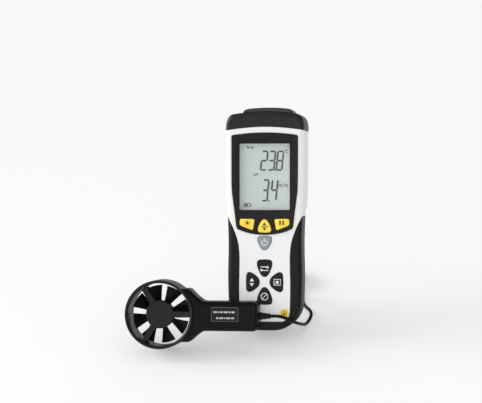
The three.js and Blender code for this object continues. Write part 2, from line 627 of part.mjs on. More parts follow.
SCREWS.forEach((spot, i) => add(meter, `case_screw_${i + 1}`, caseScrew(spot), steel));
add(meter, 'tripod_insert', alongZ(turned([
  [2.8, HEAD_BACK_Z + 0.2], [4.2, HEAD_BACK_Z + 0.2], [4.2, 0.4], [2.8, 0.4], [2.8, HEAD_BACK_Z + 0.2],
], 18)).translate([0, 116.5, 0]), brass);
add(meter, 'battery', battery(), black);
add(meter, 'battery_snap', slab(rectangle(12.4, 60.2, 63.4, 1), 6, 18.4), black);
add(meter, 'battery_cover', batteryCover(), white);
add(meter, 'probe_socket', socket(), black);
add(meter, 'plug', plug(), black);
add(meter, 'plug_relief', plugRelief(), rubber);

const tiltStand = new THREE.Group();
tiltStand.position.set(0, HINGE_Y, HINGE_Z);
tiltStand.rotation.x = standOpen;
meter.add(tiltStand);
add(tiltStand, 'tilt_stand', stand(), black);

// the ring's lower rear edge touches the table
const ringLift = (REAR_ROUND * (Math.sin(LEAN) + Math.cos(LEAN) - 1)
  - (PROBE_Z - RING_HALF + RING_CHAMFER) * Math.sin(LEAN)) / Math.cos(LEAN) + RING_RADIUS;
const probe = new THREE.Group();
probe.position.set(PROBE_X, ringLift, PROBE_Z);
meter.add(probe);

const bothProbeShells = probeShells();
add(probe, 'probe_shell_front', bothProbeShells.subtract(block(0, 99, -40, 40, -20, GAP / 2)), black);
add(probe, 'probe_shell_rear', bothProbeShells.subtract(block(0, 99, -40, 40, -GAP / 2, 20)), black);
add(probe, 'probe_label', labelPlate(), grey);
add(probe, 'vane_ring', ring(), black);
add(probe, 'front_spider', spider(12.8, 5.8, 4.4, 8, 4, 6.6), black);
add(probe, 'rear_spider', spider(8, 4, -10.2, -6.6, -8.8, -6), black);
add(probe, 'front_bearing', bearing(4.4, 6.3), brass);
add(probe, 'rear_bearing', bearing(-8.5, -6.6), brass);
add(probe, 'rotor', rotor(), rubber);
add(probe, 'rotor_shaft', alongZ(bar(0.9, -8.3, 6.1, 10)), steel);
add(probe, 'pickup_board', block(55, 73, -8, 6, -0.8, 0.8), board);
add(probe, 'probe_relief', probeRelief(), rubber);
PROBE_SCREWS.forEach((x, i) => add(probe, `probe_screw_${i + 1}`, probeScrew(x), steel));

add(anemometer, 'cord_lead', cordTube(LEAD_ROUTE), rubber);
add(anemometer, 'cord_coil', coil(), rubber);
add(anemometer, 'cord_tail', cordTube(TAIL_ROUTE), rubber);
add(anemometer, 'cord_tie', tie(), grey);

export default anemometer;
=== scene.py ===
"""Looks for the vane anemometer: finer shells, keys, display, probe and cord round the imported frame."""

import json
import math
import bmesh
import bpy
from mathutils import Matrix, Vector
from mathutils.bvhtree import BVHTree


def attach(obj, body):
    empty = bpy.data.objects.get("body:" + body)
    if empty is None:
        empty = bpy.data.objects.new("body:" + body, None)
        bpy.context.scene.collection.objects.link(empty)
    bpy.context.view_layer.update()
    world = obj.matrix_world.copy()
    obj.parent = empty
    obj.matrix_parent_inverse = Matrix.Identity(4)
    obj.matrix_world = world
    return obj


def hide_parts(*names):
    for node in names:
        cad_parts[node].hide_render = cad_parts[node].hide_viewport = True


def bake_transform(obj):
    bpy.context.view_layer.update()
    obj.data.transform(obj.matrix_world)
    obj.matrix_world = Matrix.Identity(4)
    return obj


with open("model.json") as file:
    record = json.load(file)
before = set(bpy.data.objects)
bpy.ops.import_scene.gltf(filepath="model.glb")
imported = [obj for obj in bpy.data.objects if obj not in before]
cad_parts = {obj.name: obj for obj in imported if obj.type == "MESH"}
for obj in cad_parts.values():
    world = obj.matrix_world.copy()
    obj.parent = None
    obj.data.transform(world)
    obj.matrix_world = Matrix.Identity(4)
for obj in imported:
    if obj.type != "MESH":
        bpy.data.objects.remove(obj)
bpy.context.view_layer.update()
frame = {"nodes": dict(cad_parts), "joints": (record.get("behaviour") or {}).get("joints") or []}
scene = bpy.context.scene

# ---------------------------------------------------------------- places, from the record's joints
# Meshes are drawn in millimetres in the meter's own frame (x right, y up the casing, z out of its
# face) or in the probe's (the same axes, its origin at the middle of the ring), and scaled at the end.

JOINTS = {j["name"]: j for j in frame["joints"]}
OUT = Vector(JOINTS["rotor_spin"]["axis"]).normalized()
UP = Vector((0, OUT.z, -OUT.y))
HINGE = (64.0, -3.6)                     # the stand's hinge in the meter's frame
LEAN = 28.0                              # degrees the meter leans back
STAND_OPEN = 46.215                      # degrees the stand swings out at rest


def placed(origin):
    m = Matrix((Vector((1, 0, 0)), UP, OUT)).transposed().to_4x4()
    m.translation = origin
    return m


hinge_at = Vector(JOINTS["stand_fold"]["pos_m"])
METER = placed(hinge_at - UP * HINGE[0] / 1000 - OUT * HINGE[1] / 1000)
PROBE = placed(Vector(JOINTS["rotor_spin"]["pos_m"]))
STAND = placed(hinge_at) @ Matrix.Rotation(math.radians(STAND_OPEN), 4, "X")
ROW = Matrix.Identity(4)

GAP = 0.3                                # between pieces that touch
FACE_Z = 38.0                            # front face of the casing
HEAD_BACK_Z = -8.0                       # back of the head, behind the grip's at 0
SPLIT_Z = 17.5                           # parting line of the two shells
BEZEL_TOP_Z = 39.0
KEY_BASE_Z = 33.5
IR_X, LASER_X, HEAD_Z = -3.3, 11.7, 20   # the two bores through the cap
YELLOW_TOP, DARK_TOP = 39.8, 39.0         # tops of the yellow keys, and of the others
TRIPOD_Y = 116.5
BADGE_X, BADGE_Y = 18, 15.6
SOCKET_Y, SOCKET_Z = 19.5, 18
DROP = 1.2                               # the probe handle's axis is below the ring's

# ---------------------------------------------------------------- camera

AIM = Vector((-0.0217, 0.1176, 0.038))   # in the meter's frame, in metres
DISTANCE = 1.6
YAW = math.radians(8)                    # how far the camera stands to the right of the face
camera = bpy.data.objects.new("camera", bpy.data.cameras.new("camera"))
scene.collection.objects.link(camera)
scene.camera = camera
RIGHT = Vector((1, 0, 0)) * math.cos(YAW) - OUT * math.sin(YAW)
BACK = Vector((1, 0, 0)) * math.sin(YAW) + OUT * math.cos(YAW)
turn = Matrix((RIGHT, UP, BACK)).transposed().to_4x4()
turn.translation = METER @ AIM + BACK * DISTANCE
camera.matrix_world = turn
camera.data.sensor_width = 36
camera.data.lens = 131.03

# ---------------------------------------------------------------- outlines, as lists of 2-D points


def arc(x, y, r, start, end, count):
    a = [math.radians(start + (end - start) * i / count) for i in range(count + 1)]
    return [Vector((x + r * math.cos(t), y + r * math.sin(t))) for t in a]


def bend(a, b, c, count):
    a, b, c = Vector(a), Vector(b), Vector(c)
    ts = [i / count for i in range(count + 1)]
    return [a * (1 - t) ** 2 + b * 2 * t * (1 - t) + c * t * t for t in ts]


def catmull_rom(p, k, t):
    """The curve through the points, at t of the way from point k to the next."""
    p0, p1, p2, p3 = p[max(k - 1, 0)], p[k], p[k + 1], p[min(k + 2, len(p) - 1)]
    v0, v1 = (p2 - p0) / 2, (p3 - p1) / 2
    return (p1 * 2 - p2 * 2 + v0 + v1) * t ** 3 + (p2 * 3 - p1 * 3 - v0 * 2 - v1) * t * t + v0 * t + p1


def smooth(pairs, count):
    p = [Vector(q) for q in pairs]
    out = []
    for i in range(count + 1):
        f = i / count * (len(p) - 1)
        k = min(int(f), len(p) - 2)
        out.append(catmull_rom(p, k, f - k))
    return out


def distinct(points, least=0.03):
    out = []
    for p in points:
        if not out or (p - out[-1]).length > least:
            out.append(p)
    while (out[0] - out[-1]).length <= least:
        out.pop()
    return out


def both_halves(points):
    return distinct([*points, *[Vector((-p.x, p.y)) for p in reversed(points)]])


def grown(points, distance):
    if not distance:
        return list(points)
    n = len(points)
    out = []
    for i, p in enumerate(points):
        a, b = p - points[i - 1], points[(i + 1) % n] - p
        na, nb = Vector((a.y, -a.x)).normalized(), Vector((b.y, -b.x)).normalized()
        mean = (na + nb).normalized()
        out.append(p + mean * distance / max(0.3, mean.dot(na)))
    return out


def box(x0, y0, x1, y1):
    return [Vector(p) for p in ((x0, y0), (x1, y0), (x1, y1), (x0, y1))]


def rounded(corners, radius, count=6):
    out = []
    for i, corner in enumerate(corners):
        here, last, after = Vector(corner), Vector(corners[i - 1]), Vector(corners[(i + 1) % len(corners)])
        r = radius[i] if isinstance(radius, (list, tuple)) else radius
        out += bend(here + (last - here).normalized() * r, here,
                    here + (after - here).normalized() * r, count)
    return distinct(out)


def rectangle(half, bottom, top, radius, count=6):
    return rounded(box(-half, bottom, half, top), radius, count)


def dense(points, step):
    """The closed outline with points added, so that none are further apart than step."""
    out = []
    for i, p in enumerate(points):
        q = points[(i + 1) % len(points)]
        n = max(1, math.ceil((q - p).length / step))
        out += [p.lerp(q, k / n) for k in range(n)]
    return out


def moved(points, x, y, degrees):
    t = math.radians(degrees)
    return [Vector((x + p.x * math.cos(t) - p.y * math.sin(t), y + p.x * math.sin(t) + p.y * math.cos(t)))
            for p in points]


def circle(x, y, r, count=48):
    return arc(x, y, r, 0, 360 - 360 / count, count - 1)


def side(top):
    return [*arc(7.6, 26, 26, -90, 0, 22),
            *smooth([(33.6, 26), (34.2, 50), (33.7, 76), (34.2, 98), (35.2, 120), (35.6, 145),
                     (35.7, top)], 48)]


SHOULDER = (186, [*bend((35.7, 186), (35.3, 196.6), (28.2, 197.4), 12),
                  *bend((28.2, 197.4), (16, 199.2), (0, 199.4), 10)])
FULL_SHOULDER = (176, [*arc(14.7, 176, 21, 0, 90, 16), Vector((0, 198))])


def whole_outline(shoulder):
    return both_halves([*side(shoulder[0]), *shoulder[1]])


def head_outline(shoulder):
    return both_halves([*bend((22.6, 104), (34.8, 104), (35.1, 117), 10),
                        *smooth([(35.1, 117), (35.6, 145), (35.7, shoulder[0])], 16), *shoulder[1]])


BOOT_OPENING = both_halves([
    *arc(14.3, 17, 9, -90, 0, 12),
    *smooth([(23.3, 17), (23.7, 40), (23.3, 64), (24.4, 79), (28.6, 92), (35.6, 106.5)], 44),
    Vector((50, 131)), Vector((50, 230))])
CAP_AREA = both_halves([*bend((0, 185.8), (20, 185.8), (50, 180.4), 24), Vector((50, 230))])
BEZEL = both_halves([
    *bend((0, 87.3), (15, 87.6), (24.6, 92.6), 16), *bend((24.6, 92.6), (25.9, 93.4), (26.1, 96), 6),
    *smooth([(26.1, 96), (27.5, 108), (29.2, 121), (30.2, 133), (30.4, 176)], 26),
    *bend((30.4, 176), (30.4, 178), (28.4, 178.2), 6), *bend((28.4, 178.2), (14, 180.3), (0, 180.3), 14)])


def shield(width, height):
    h = width / 2
    return both_halves([
        *bend((0, 0), (h * 0.35, 0), (h * 0.62, height * 0.25), 7),
        *bend((h * 0.62, height * 0.25), (h * 1.02, height * 0.62), (h, height * 0.8), 8),
        *bend((h, height * 0.8), (h * 0.96, height), (h * 0.6, height), 7), Vector((0, height * 1.02))])


SIDE_KEY = rounded([(10.7, 91.1), (22.9, 96), (22.6, 101.9), (8.9, 101.6)], 1.9)
KEYS = {
    "yellow_key_left": (distinct([Vector((-p.x, p.y)) for p in reversed(SIDE_KEY)]), YELLOW_TOP),
    "yellow_key_middle": (moved(shield(12.2, 12), 0, 101.4, 180), YELLOW_TOP),
    "yellow_key_right": (SIDE_KEY, YELLOW_TOP),
    "power_key": (moved(shield(13, 12.2), 0, 73.6, 0), DARK_TOP),
    "pad_key_top": (moved(shield(13.6, 15.2), 0, 49.1, 0), DARK_TOP),
    "pad_key_bottom": (moved(shield(13.6, 15.2), 0, 39.3, 180), DARK_TOP),
    "pad_key_left": (moved(shield(17.6, 11.8), -4.8, 44.2, 90), DARK_TOP),
    "pad_key_right": (moved(shield(17.6, 11.8), 4.8, 44.2, -90), DARK_TOP),
}

# ---------------------------------------------------------------- meshes, in millimetres


def mesh_of(vertices, faces):
    mesh = bpy.data.meshes.new("made")
    mesh.from_pydata([tuple(v) for v in vertices], [], faces)
    mesh.validate()
    mesh.update()
    return mesh


def loft(rings, start=True, end=True):
    """Joins rings of equal length; a cap closes each end, with a face or with a point it is given."""
    n = len(rings[0])
    vertices = [v for ring in rings for v in ring]
    faces = [(k * n + i, k * n + (i + 1) % n, (k + 1) * n + (i + 1) % n, (k + 1) * n + i)
             for k in range(len(rings) - 1) for i in range(n)]
    last = (len(rings) - 1) * n
    if start is True:
        faces.append(tuple(reversed(range(n))))
    elif start is not False:
        vertices.append(start)
        faces += [(len(vertices) - 1, (i + 1) % n, i) for i in range(n)]
    if end is True:
        faces.append(tuple(range(last, last + n)))
    elif end is not False:
        vertices.append(end)
        faces += [(len(vertices) - 1, last + i, last + (i + 1) % n) for i in range(n)]
    return mesh_of(vertices, faces)


def at(points, z):
    return [Vector((p.x, p.y, z)) for p in points]


def slab(points, z0, z1, top=0.0, bottom=0.0, count=5):
    """An outline from z0 to z1, with its edges rounded; a negative radius flares them instead."""
    rings = []
    if bottom:
        b = abs(bottom)
        for i in range(count):
            a = math.pi / 2 * i / count
            inset = math.copysign(b * (1 - math.sin(a)), bottom)
            rings.append(at(grown(points, -inset), z0 + b * (1 - math.cos(a))))
        rings.append(at(points, z0 + b))
    else:
        rings.append(at(points, z0))
    if top:
        t = abs(top)
        rings.append(at(points, z1 - t))
        for i in range(1, count + 1):
            a = math.pi / 2 * i / count
            inset = math.copysign(t * (1 - math.cos(a)), top)
            rings.append(at(grown(points, -inset), z1 - t * (1 - math.sin(a))))
    else:
        rings.append(at(points, z1))
    return loft(rings)


def through(points, front=None, back=None, flare=0.6, count=5):
    """A cutter along z. Where it leaves a face at front or back it flares, to leave a rounded edge."""
    rings = []
    if back is not None:
        rings.append(at(grown(points, flare), -70))
        for i in range(count + 1):
            a = math.pi / 2 * i / count
            rings.append(at(grown(points, flare * (1 - math.sin(a))), back + flare * (1 - math.cos(a))))
    else:
        rings.append(at(points, -70))
    if front is not None:
        for i in range(count + 1):
            a = math.pi / 2 * i / count
            rings.append(at(grown(points, flare * (1 - math.cos(a))), front - flare * (1 - math.sin(a))))
        rings.append(at(grown(points, flare), 90))
    else:
        rings.append(at(points, 90))
    return loft(rings)


def pillow(points, z0, z1, round_=0.9, crown=0.5, count=5, rings_in=7):
    """A slab with rounded upper edges and a crowned top."""
    rings = [at(points, z0)]
    for i in range(count + 1):
        a = math.pi / 2 * i / count
        rings.append(at(grown(points, -round_ * (1 - math.cos(a))), z1 - crown - round_ * (1 - math.sin(a))))
    rim = grown(points, -round_)
    centre = sum(rim, Vector((0, 0))) / len(rim)
    for k in range(1, rings_in):
        f = k / rings_in
        rings.append(at([p.lerp(centre, f) for p in rim], z1 - crown + crown * (1 - (1 - f) ** 2)))
    return loft(rings, end=Vector((centre.x, centre.y, z1)))


def soften(profile, radius, count=4):
    """An open or closed [radius, height] profile with its inner corners rounded."""
    closed = profile[0] == profile[-1]
    points = [Vector(p) for p in (profile[:-1] if closed else profile)]
    out = []
    for i, here in enumerate(points):
        if not closed and i in (0, len(points) - 1):
            out.append(here)
            continue
        last, after = points[i - 1], points[(i + 1) % len(points)]
        r = min(radius, (last - here).length * 0.45, (after - here).length * 0.45)
        out += bend(here + (last - here).normalized() * r, here,
                    here + (after - here).normalized() * r, count)
    return out + ([out[0].copy()] if closed else [])


def turned(profile, segments=64):
    """A solid turned about z from a profile of [radius, height], from low to high."""
    profile = [Vector(p) for p in profile]
    closed = (profile[0] - profile[-1]).length < 1e-6
    if closed:
        profile = profile[:-1]
    start = end = False
    if not closed:
        start, end = Vector((0, 0, profile[0].y)), Vector((0, 0, profile[-1].y))
        profile = [p for p in profile if p.x > 1e-6]
    turns = [2 * math.pi * i / segments for i in range(segments)]
    rings = [[Vector((p.x * math.cos(t), p.x * math.sin(t), p.y)) for t in turns] for p in profile]
    if closed:
        rings.append(rings[0])
        return welded(loft(rings, False, False))
    return loft(rings, start, end)


def bar(r, z0, z1, segments=48):
    return turned([(0, z0), (r, z0), (r, z1), (0, z1)], segments)


def welded(mesh):
    work = bmesh.new()
    work.from_mesh(mesh)
    bmesh.ops.remove_doubles(work, verts=work.verts, dist=1e-4)
    bmesh.ops.recalc_face_normals(work, faces=work.faces)
    work.to_mesh(mesh)
    work.free()
    return mesh


def shifted(mesh, *steps):
    """A copy of the mesh, moved by each step in turn: a vector, or (degrees, axis)."""
    mesh = mesh.copy()
    for step in steps:
        if isinstance(step[1], str):
            mesh.transform(Matrix.Rotation(math.radians(step[0]), 4, step[1]))
        else:
            mesh.transform(Matrix.Translation(step))
    return mesh


def along_y(mesh, x, z):
    return shifted(mesh, (-90, "X"), (x, 0, z))


def along_x(mesh, y, z):
    return shifted(mesh, (90, "Y"), (0, y, z))


def block(x0, x1, y0, y1, z0, z1):
    return slab(box(x0, y0, x1, y1), z0, z1)


def csg(mesh, *steps):
    """The mesh with others added ('+'), cut away ('-') or kept in common ('&'), in order."""
    base = bpy.data.objects.new("base", mesh)
    scene.collection.objects.link(base)
    tools = []
    for sign, other in steps:
        tool = bpy.data.objects.new("tool", other)
        scene.collection.objects.link(tool)
        tools.append(tool)
        change = base.modifiers.new("cut", "BOOLEAN")
        change.operation = {"+": "UNION", "-": "DIFFERENCE", "&": "INTERSECT"}[sign]
        change.solver = "MANIFOLD"
        change.object = tool
    made = bpy.data.meshes.new_from_object(base.evaluated_get(bpy.context.evaluated_depsgraph_get()))
    for o in (base, *tools):
        bpy.data.objects.remove(o)
    return made


def joined(meshes):
    """Several meshes in one, not merged."""
    vertices, faces = [], []
    for mesh in meshes:
        first = len(vertices)
        vertices += [v.co.copy() for v in mesh.vertices]
        faces += [tuple(first + i for i in p.vertices) for p in mesh.polygons]
    return mesh_of(vertices, faces)


def piece(name, mesh, place, body, material, replaces=(), angle=32, weighted=True):
    """Makes an object of the mesh, in metres in the row frame, shades it, and lets it ride on its body."""
    mesh = mesh.copy()
    mesh.transform(place @ Matrix.Scale(0.001, 4))
    mesh.name = name
    for p in mesh.polygons:
        p.use_smooth = True
    mesh.set_sharp_from_angle(angle=math.radians(angle))
    mesh.materials.clear()
    mesh.materials.append(material)
    o = bpy.data.objects.new(name, mesh)
    scene.collection.objects.link(o)
    if weighted:
        normal = o.modifiers.new("normals", "WEIGHTED_NORMAL")
        normal.keep_sharp = True
    if body:
        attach(o, body)
    if replaces:
        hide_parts(*([replaces] if isinstance(replaces, str) else replaces))
    return o


# ---------------------------------------------------------------- materials


def nodes_of(name):
    m = bpy.data.materials.new(name)
    m.use_nodes = True
    tree = m.node_tree
    return m, tree, tree.nodes["Principled BSDF"], tree.links.new


def ranged(tree, source, low, high, span=(0.0, 1.0)):
    """The source mapped from a span of values to low and high."""
    node = tree.nodes.new("ShaderNodeMapRange")
    for name, value in zip(("From Min", "From Max", "To Min", "To Max"), (*span, low, high)):
        node.inputs[name].default_value = value
    tree.links.new(source, node.inputs["Value"])
    return node.outputs["Result"]


def noise(tree, where, scale, detail):
    node = tree.nodes.new("ShaderNodeTexNoise")
    node.inputs["Scale"].default_value, node.inputs["Detail"].default_value = scale, detail
    tree.links.new(where.outputs["Object"], node.inputs["Vector"])
    return node.outputs["Fac"]


def shaded(colour, factor):
    return (*[min(1.0, c * factor) for c in colour], 1)


GRAIN_DEPTH = 0.00004


def material(name, colour, rough, vary=0.08, vary_scale=60, grain=0.25, grain_scale=2600,
             rough_vary=0.1, wear=0.25, metallic=0.0, coat=0.0, cells=False, level=0.5):
    """Moulded plastic, rubber or metal: mottled colour, a fine grain in the surface, paler worn edges."""
    m, tree, shader, link = nodes_of(name)
    new = tree.nodes.new
    where = new("ShaderNodeTexCoord")
    tint = new("ShaderNodeMix")
    tint.data_type = "RGBA"
    tint.inputs["A"].default_value = shaded(colour, 1 - vary)
    tint.inputs["B"].default_value = shaded(colour, 1 + vary)
    link(noise(tree, where, vary_scale, 4), tint.inputs["Factor"])
    edge = new("ShaderNodeNewGeometry")
    worn = new("ShaderNodeMix")
    worn.data_type = "RGBA"
    worn.inputs["B"].default_value = (*[min(1.0, c * 1.5 + 0.03) for c in colour], 1)
    link(ranged(tree, edge.outputs["Pointiness"], 0, wear, (0.53, 0.68)), worn.inputs["Factor"])
    link(tint.outputs["Result"], worn.inputs["A"])
    link(worn.outputs["Result"], shader.inputs["Base Color"])
    shader.inputs["Base Color"].default_value = (*colour, 1)
    dull = ranged(tree, noise(tree, where, vary_scale * 7, 5), max(0.02, rough - rough_vary),
                  min(1.0, rough + rough_vary), (0.3, 0.7))
    link(dull, shader.inputs["Roughness"])
    shader.inputs["Roughness"].default_value = rough
    shader.inputs["Metallic"].default_value = metallic
    shader.inputs["Coat Weight"].default_value = coat
    shader.inputs["Specular IOR Level"].default_value = level
    if cells:
        fine = new("ShaderNodeTexVoronoi")
        fine.inputs["Scale"].default_value = grain_scale
        link(where.outputs["Object"], fine.inputs["Vector"])
        height = fine.outputs["Distance"]
    else:
        height = noise(tree, where, grain_scale, 3)
    bump = new("ShaderNodeBump")
    bump.inputs["Strength"].default_value = grain
    bump.inputs["Distance"].default_value = GRAIN_DEPTH
    link(height, bump.inputs["Height"])
    link(bump.outputs["Normal"], shader.inputs["Normal"])
    return m


def clear(name, tint=(0.97, 0.98, 0.98), rough=0.04):
    """Clear plastic: see-through, with a reflection that grows towards its edges and faint smears."""
    m, tree, shader, link = nodes_of(name)
    new = tree.nodes.new
    tree.nodes.remove(shader)
    glass, shine, both = (new("ShaderNodeBsdfTransparent"), new("ShaderNodeBsdfGlossy"),
                          new("ShaderNodeMixShader"))
    glass.inputs["Color"].default_value = (*tint, 1)
    smear = noise(tree, new("ShaderNodeTexCoord"), 90, 2)
    link(ranged(tree, smear, rough * 0.5, rough * 2), shine.inputs["Roughness"])
    fresnel = new("ShaderNodeFresnel")
    fresnel.inputs["IOR"].default_value = 1.4
    which, outer = new("ShaderNodeNewGeometry"), new("ShaderNodeMath")    # the inner face doesn't reflect
    outer.operation = "MULTIPLY_ADD"
    outer.inputs[1].default_value, outer.inputs[2].default_value = -1, 1
    link(which.outputs["Backfacing"], outer.inputs[0])
    share = new("ShaderNodeMath")
    share.operation = "MULTIPLY"
    link(fresnel.outputs["Fac"], share.inputs[0])
    link(outer.outputs["Value"], share.inputs[1])
    link(share.outputs["Value"], both.inputs["Fac"])
    link(glass.outputs["BSDF"], both.inputs[1])
    link(shine.outputs["BSDF"], both.inputs[2])
    link(both.outputs["Shader"], tree.nodes["Material Output"].inputs["Surface"])
    return m


WHITE = material("white_casing", (0.82, 0.82, 0.805), 0.40, vary=0.015, grain=0.18, wear=0.0, rough_vary=0.06)
CAP = material("cap_plastic", (0.019, 0.019, 0.019), 0.40, grain=0.35, wear=0.3, level=0.35)
BOOT = material("boot_rubber", (0.0085, 0.0085, 0.0095), 0.42, grain=0.45, grain_scale=1500, cells=True,
                wear=0.4, level=0.3)
# the collar's own dark plastic, made paler than the cap's: painted light, standing in for the light its front
# face catches
COLLAR_PAINTED_LIGHT = material("collar_plastic_painted_light", (0.045, 0.045, 0.046), 0.33, grain=0.3, wear=0.4, level=0.4)
FRAME_BLACK = material("bezel_plastic", (0.0115, 0.011, 0.0105), 0.34, grain=0.2, wear=0.3, level=0.3)
PROBE_BLACK = material("probe_plastic", (0.0045, 0.0045, 0.005), 0.36, grain=0.4, grain_scale=1900,
                       cells=True, wear=0.4, level=0.22)
DUCT_BLACK = material("duct_plastic", (0.0155, 0.0155, 0.016), 0.38, vary=0.05, grain=0.2, wear=0.3,
                      rough_vary=0.05, level=0.38)
BLADE_BLACK = material("blade_plastic", (0.008, 0.008, 0.0085), 0.36, grain=0.2, wear=0.2, level=0.2)
YELLOW = material("yellow_rubber", (0.95, 0.68, 0.06), 0.42, vary=0.05, grain=0.3, wear=0.2)
KEY_BLACK = material("key_rubber", (0.014, 0.014, 0.0145), 0.5, grain=0.45, wear=0.3, level=0.3)
KEY_GREY = material("key_grey_rubber", (0.28, 0.30, 0.325), 0.45, vary=0.05, grain=0.4, wear=0.3)
CORD = material("cord_sheath", (0.004, 0.004, 0.0045), 0.4, grain=0.3, grain_scale=1200, wear=0.1, level=0.3)
PRINT_WHITE = material("white_print", (0.78, 0.78, 0.78), 0.5, vary=0.05, wear=0)
PRINT_SOFT = material("soft_print", (0.45, 0.45, 0.45), 0.5, vary=0.1, wear=0)
PRINT_GREY = material("grey_print", (0.16, 0.16, 0.16), 0.5, vary=0.1, wear=0)
PRINT_DARK = material("dark_print", (0.06, 0.045, 0.02), 0.5, vary=0.1, wear=0)
STEEL = material("plated_steel", (0.60, 0.60, 0.59), 0.27, metallic=1, grain=0.15, grain_scale=3000, wear=0.4)
BRASS = material("turned_brass", (0.71, 0.52, 0.22), 0.3, metallic=1, grain=0.2, grain_scale=3000, wear=0.4)
BOARD = material("solder_mask", (0.015, 0.13, 0.05), 0.35, vary=0.2, vary_scale=500, wear=0.1, coat=0.3)
CAN = material("battery_sleeve", (0.05, 0.05, 0.055), 0.3, metallic=0.6, vary=0.1, grain=0.1, wear=0.3)
PANEL = material("lcd_polariser", (0.64, 0.685, 0.65), 0.5, vary=0.03, vary_scale=25, grain=0.1, wear=0)
DIFFUSER = material("diffuser", (0.75, 0.76, 0.72), 0.6, vary=0.03, wear=0)
INK = material("lcd_segment", (0.085, 0.095, 0.09), 0.6, vary=0.12, grain=0.05, wear=0)
CLEAR = clear("clear_window")
LENS = clear("dark_lens", (0.25, 0.05, 0.06), 0.03)

# ---------------------------------------------------------------- cord

LEAD_ROUTE = [
    (51.0, -55.72, 32.78), (56.7, -55.3, 32.5), (61.7, -54.7, 30.9), (66.8, -53.5, 27.6),
    (71.5, -49.7, 22.6), (74.6, -41.9, 16.4), (76.4, -30.7, 8.8), (77.9, -20.5, 3.1),
    (79.4, -13.7, 1.6), (80.7, -7.2, 1.6), (81, -1.7, 1.6), (79.8, 3.8, 1.6), (77.3, 8.3, 1.6),
    (74.2, 12.8, 1.6), (72, 18.3, 1.6), (70.8, 25.3, 1.6), (70.2, 32.3, 1.6), (69.6, 40.3, 1.7),
    (68.8, 48.3, 2)]
TAIL_ROUTE = [
    (27.8, 50.8, 9.5), (24.8, 44.8, 5.2), (20.2, 39.8, 2.2), (15.2, 34.8, 1.6), (11, 27.8, 1.6),
    (7.6, 18.8, 1.6), (3.1, 11.8, 1.6), (-3.4, 5.8, 1.6), (-11.4, 0.3, 1.6), (-17.8, -5.2, 1.6),
    (-22.2, -10.2, 3.2), (-24.7, -15.2, 6.8), (-25.5, -19.7, 11.6), (-23.9, -22.9, 16.6),
    (-20.3, -24.3, 20.4), (-16.1, -24.34, 21.9), (-12.4, -24.34, 22.14)]
COIL_CENTRE = (48.6, 59.0)
CORD_RADIUS = 1.5


def coil_route():
    """Turns laid in two columns, each layer a cord's thickness above the last; in mm, in the row frame."""
    low, pitch = 2.3, 2.95
    levels = [(19.5, 0), (16.5, 0), (16.5, 1), (19.5, 1), (19.5, 2), (16.5, 2), (16.5, 3), (19.5, 3)]
    points, per_turn = [], 40
    for k in range(int(7.5 * per_turn) + 1):
        f = k / per_turn
        i = min(int(f), len(levels) - 1)
        j = min(i + 1, len(levels) - 1)
        t = max(0.0, (f - i - 0.8) / 0.2)
        t = t * t * (3 - 2 * t)
        r = levels[i][0] * (1 - t) + levels[j][0] * t
        z = low + pitch * (levels[i][1] * (1 - t) + levels[j][1] * t)
        a = 2 * math.pi * f
        points.append(Vector((COIL_CENTRE[0] + r * math.cos(a), COIL_CENTRE[1] + r * math.sin(a), z)))
    return points


def eased(points, step):
    """A smooth curve through the points, with a point every step mm."""
    p = [Vector(q) for q in points]
    out = []
    for k in range(len(p) - 1):
        n = max(1, round((p[k + 1] - p[k]).length / step))
        out += [catmull_rom(p, k, i / n) for i in range(n)]
    return [*out, p[-1]]


def tube(points, radius, sides=14):
    """A round tube along the points, with its frame carried along without twist."""
    rings = []
    last, across = None, None
    for i, p in enumerate(points):
        ahead = (points[min(i + 1, len(points) - 1)] - points[max(i - 1, 0)]).normalized()
        if last is None:
            across = ahead.orthogonal().normalized()
        else:
            across = last.rotation_difference(ahead) @ across
            across = (across - ahead * across.dot(ahead)).normalized()
        last = ahead
        other = ahead.cross(across)
        angles = [2 * math.pi * k / sides for k in range(sides)]
        rings.append([p + across * (radius * math.cos(a)) + other * (radius * math.sin(a))
                      for a in angles])
    return loft(rings)


turns = coil_route()
cord_line = eased([*[Vector(p) for p in LEAD_ROUTE], *turns[::3], *[Vector(p) for p in TAIL_ROUTE]], 1.6)
cord = piece("cord", tube(cord_line, CORD_RADIUS), ROW, None, CORD,
             ("cord_lead", "cord_coil", "cord_tail"), angle=60, weighted=False)
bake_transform(cord)

# ---------------------------------------------------------------- casing


def casing(inset, face_inset, shoulder, count=7):
    """The meter's outer form, drawn in from its sides and its faces."""
    whole = grown(whole_outline(shoulder), -inset)
    front = csg(slab(whole, -60, FACE_Z - face_inset, top=4.5, count=count),
                ("-", block(-60, 60, -60, 240, -120, SPLIT_Z)))
    grip = slab(grown(whole_outline(FULL_SHOULDER), -inset), face_inset, 60, bottom=10, count=count + 3)
    head = slab(grown(head_outline(shoulder), -inset), HEAD_BACK_Z + face_inset, 60, bottom=4.5, count=count)
    back = csg(grip, ("+", head), ("-", block(-60, 60, -60, 240, SPLIT_Z, 120)))
    return csg(back, ("+", front))


OUTER = casing(0, 0, SHOULDER)
PROUD = casing(-0.35, -0.3, SHOULDER)
SKINNED = casing(2, 1.2, FULL_SHOULDER, 4)
IR_BORE = along_y(bar(6.8, 170, 230), IR_X, HEAD_Z)
LASER_BORE = along_y(bar(2.6, 170, 230), LASER_X, HEAD_Z)
SOCKET_BORE = along_x(turned([(0, -60), (6.2, -60), (6.2, -34.9), (5.6, -34.2), (5.6, -20), (0, -20)]),
                      SOCKET_Y, SOCKET_Z)

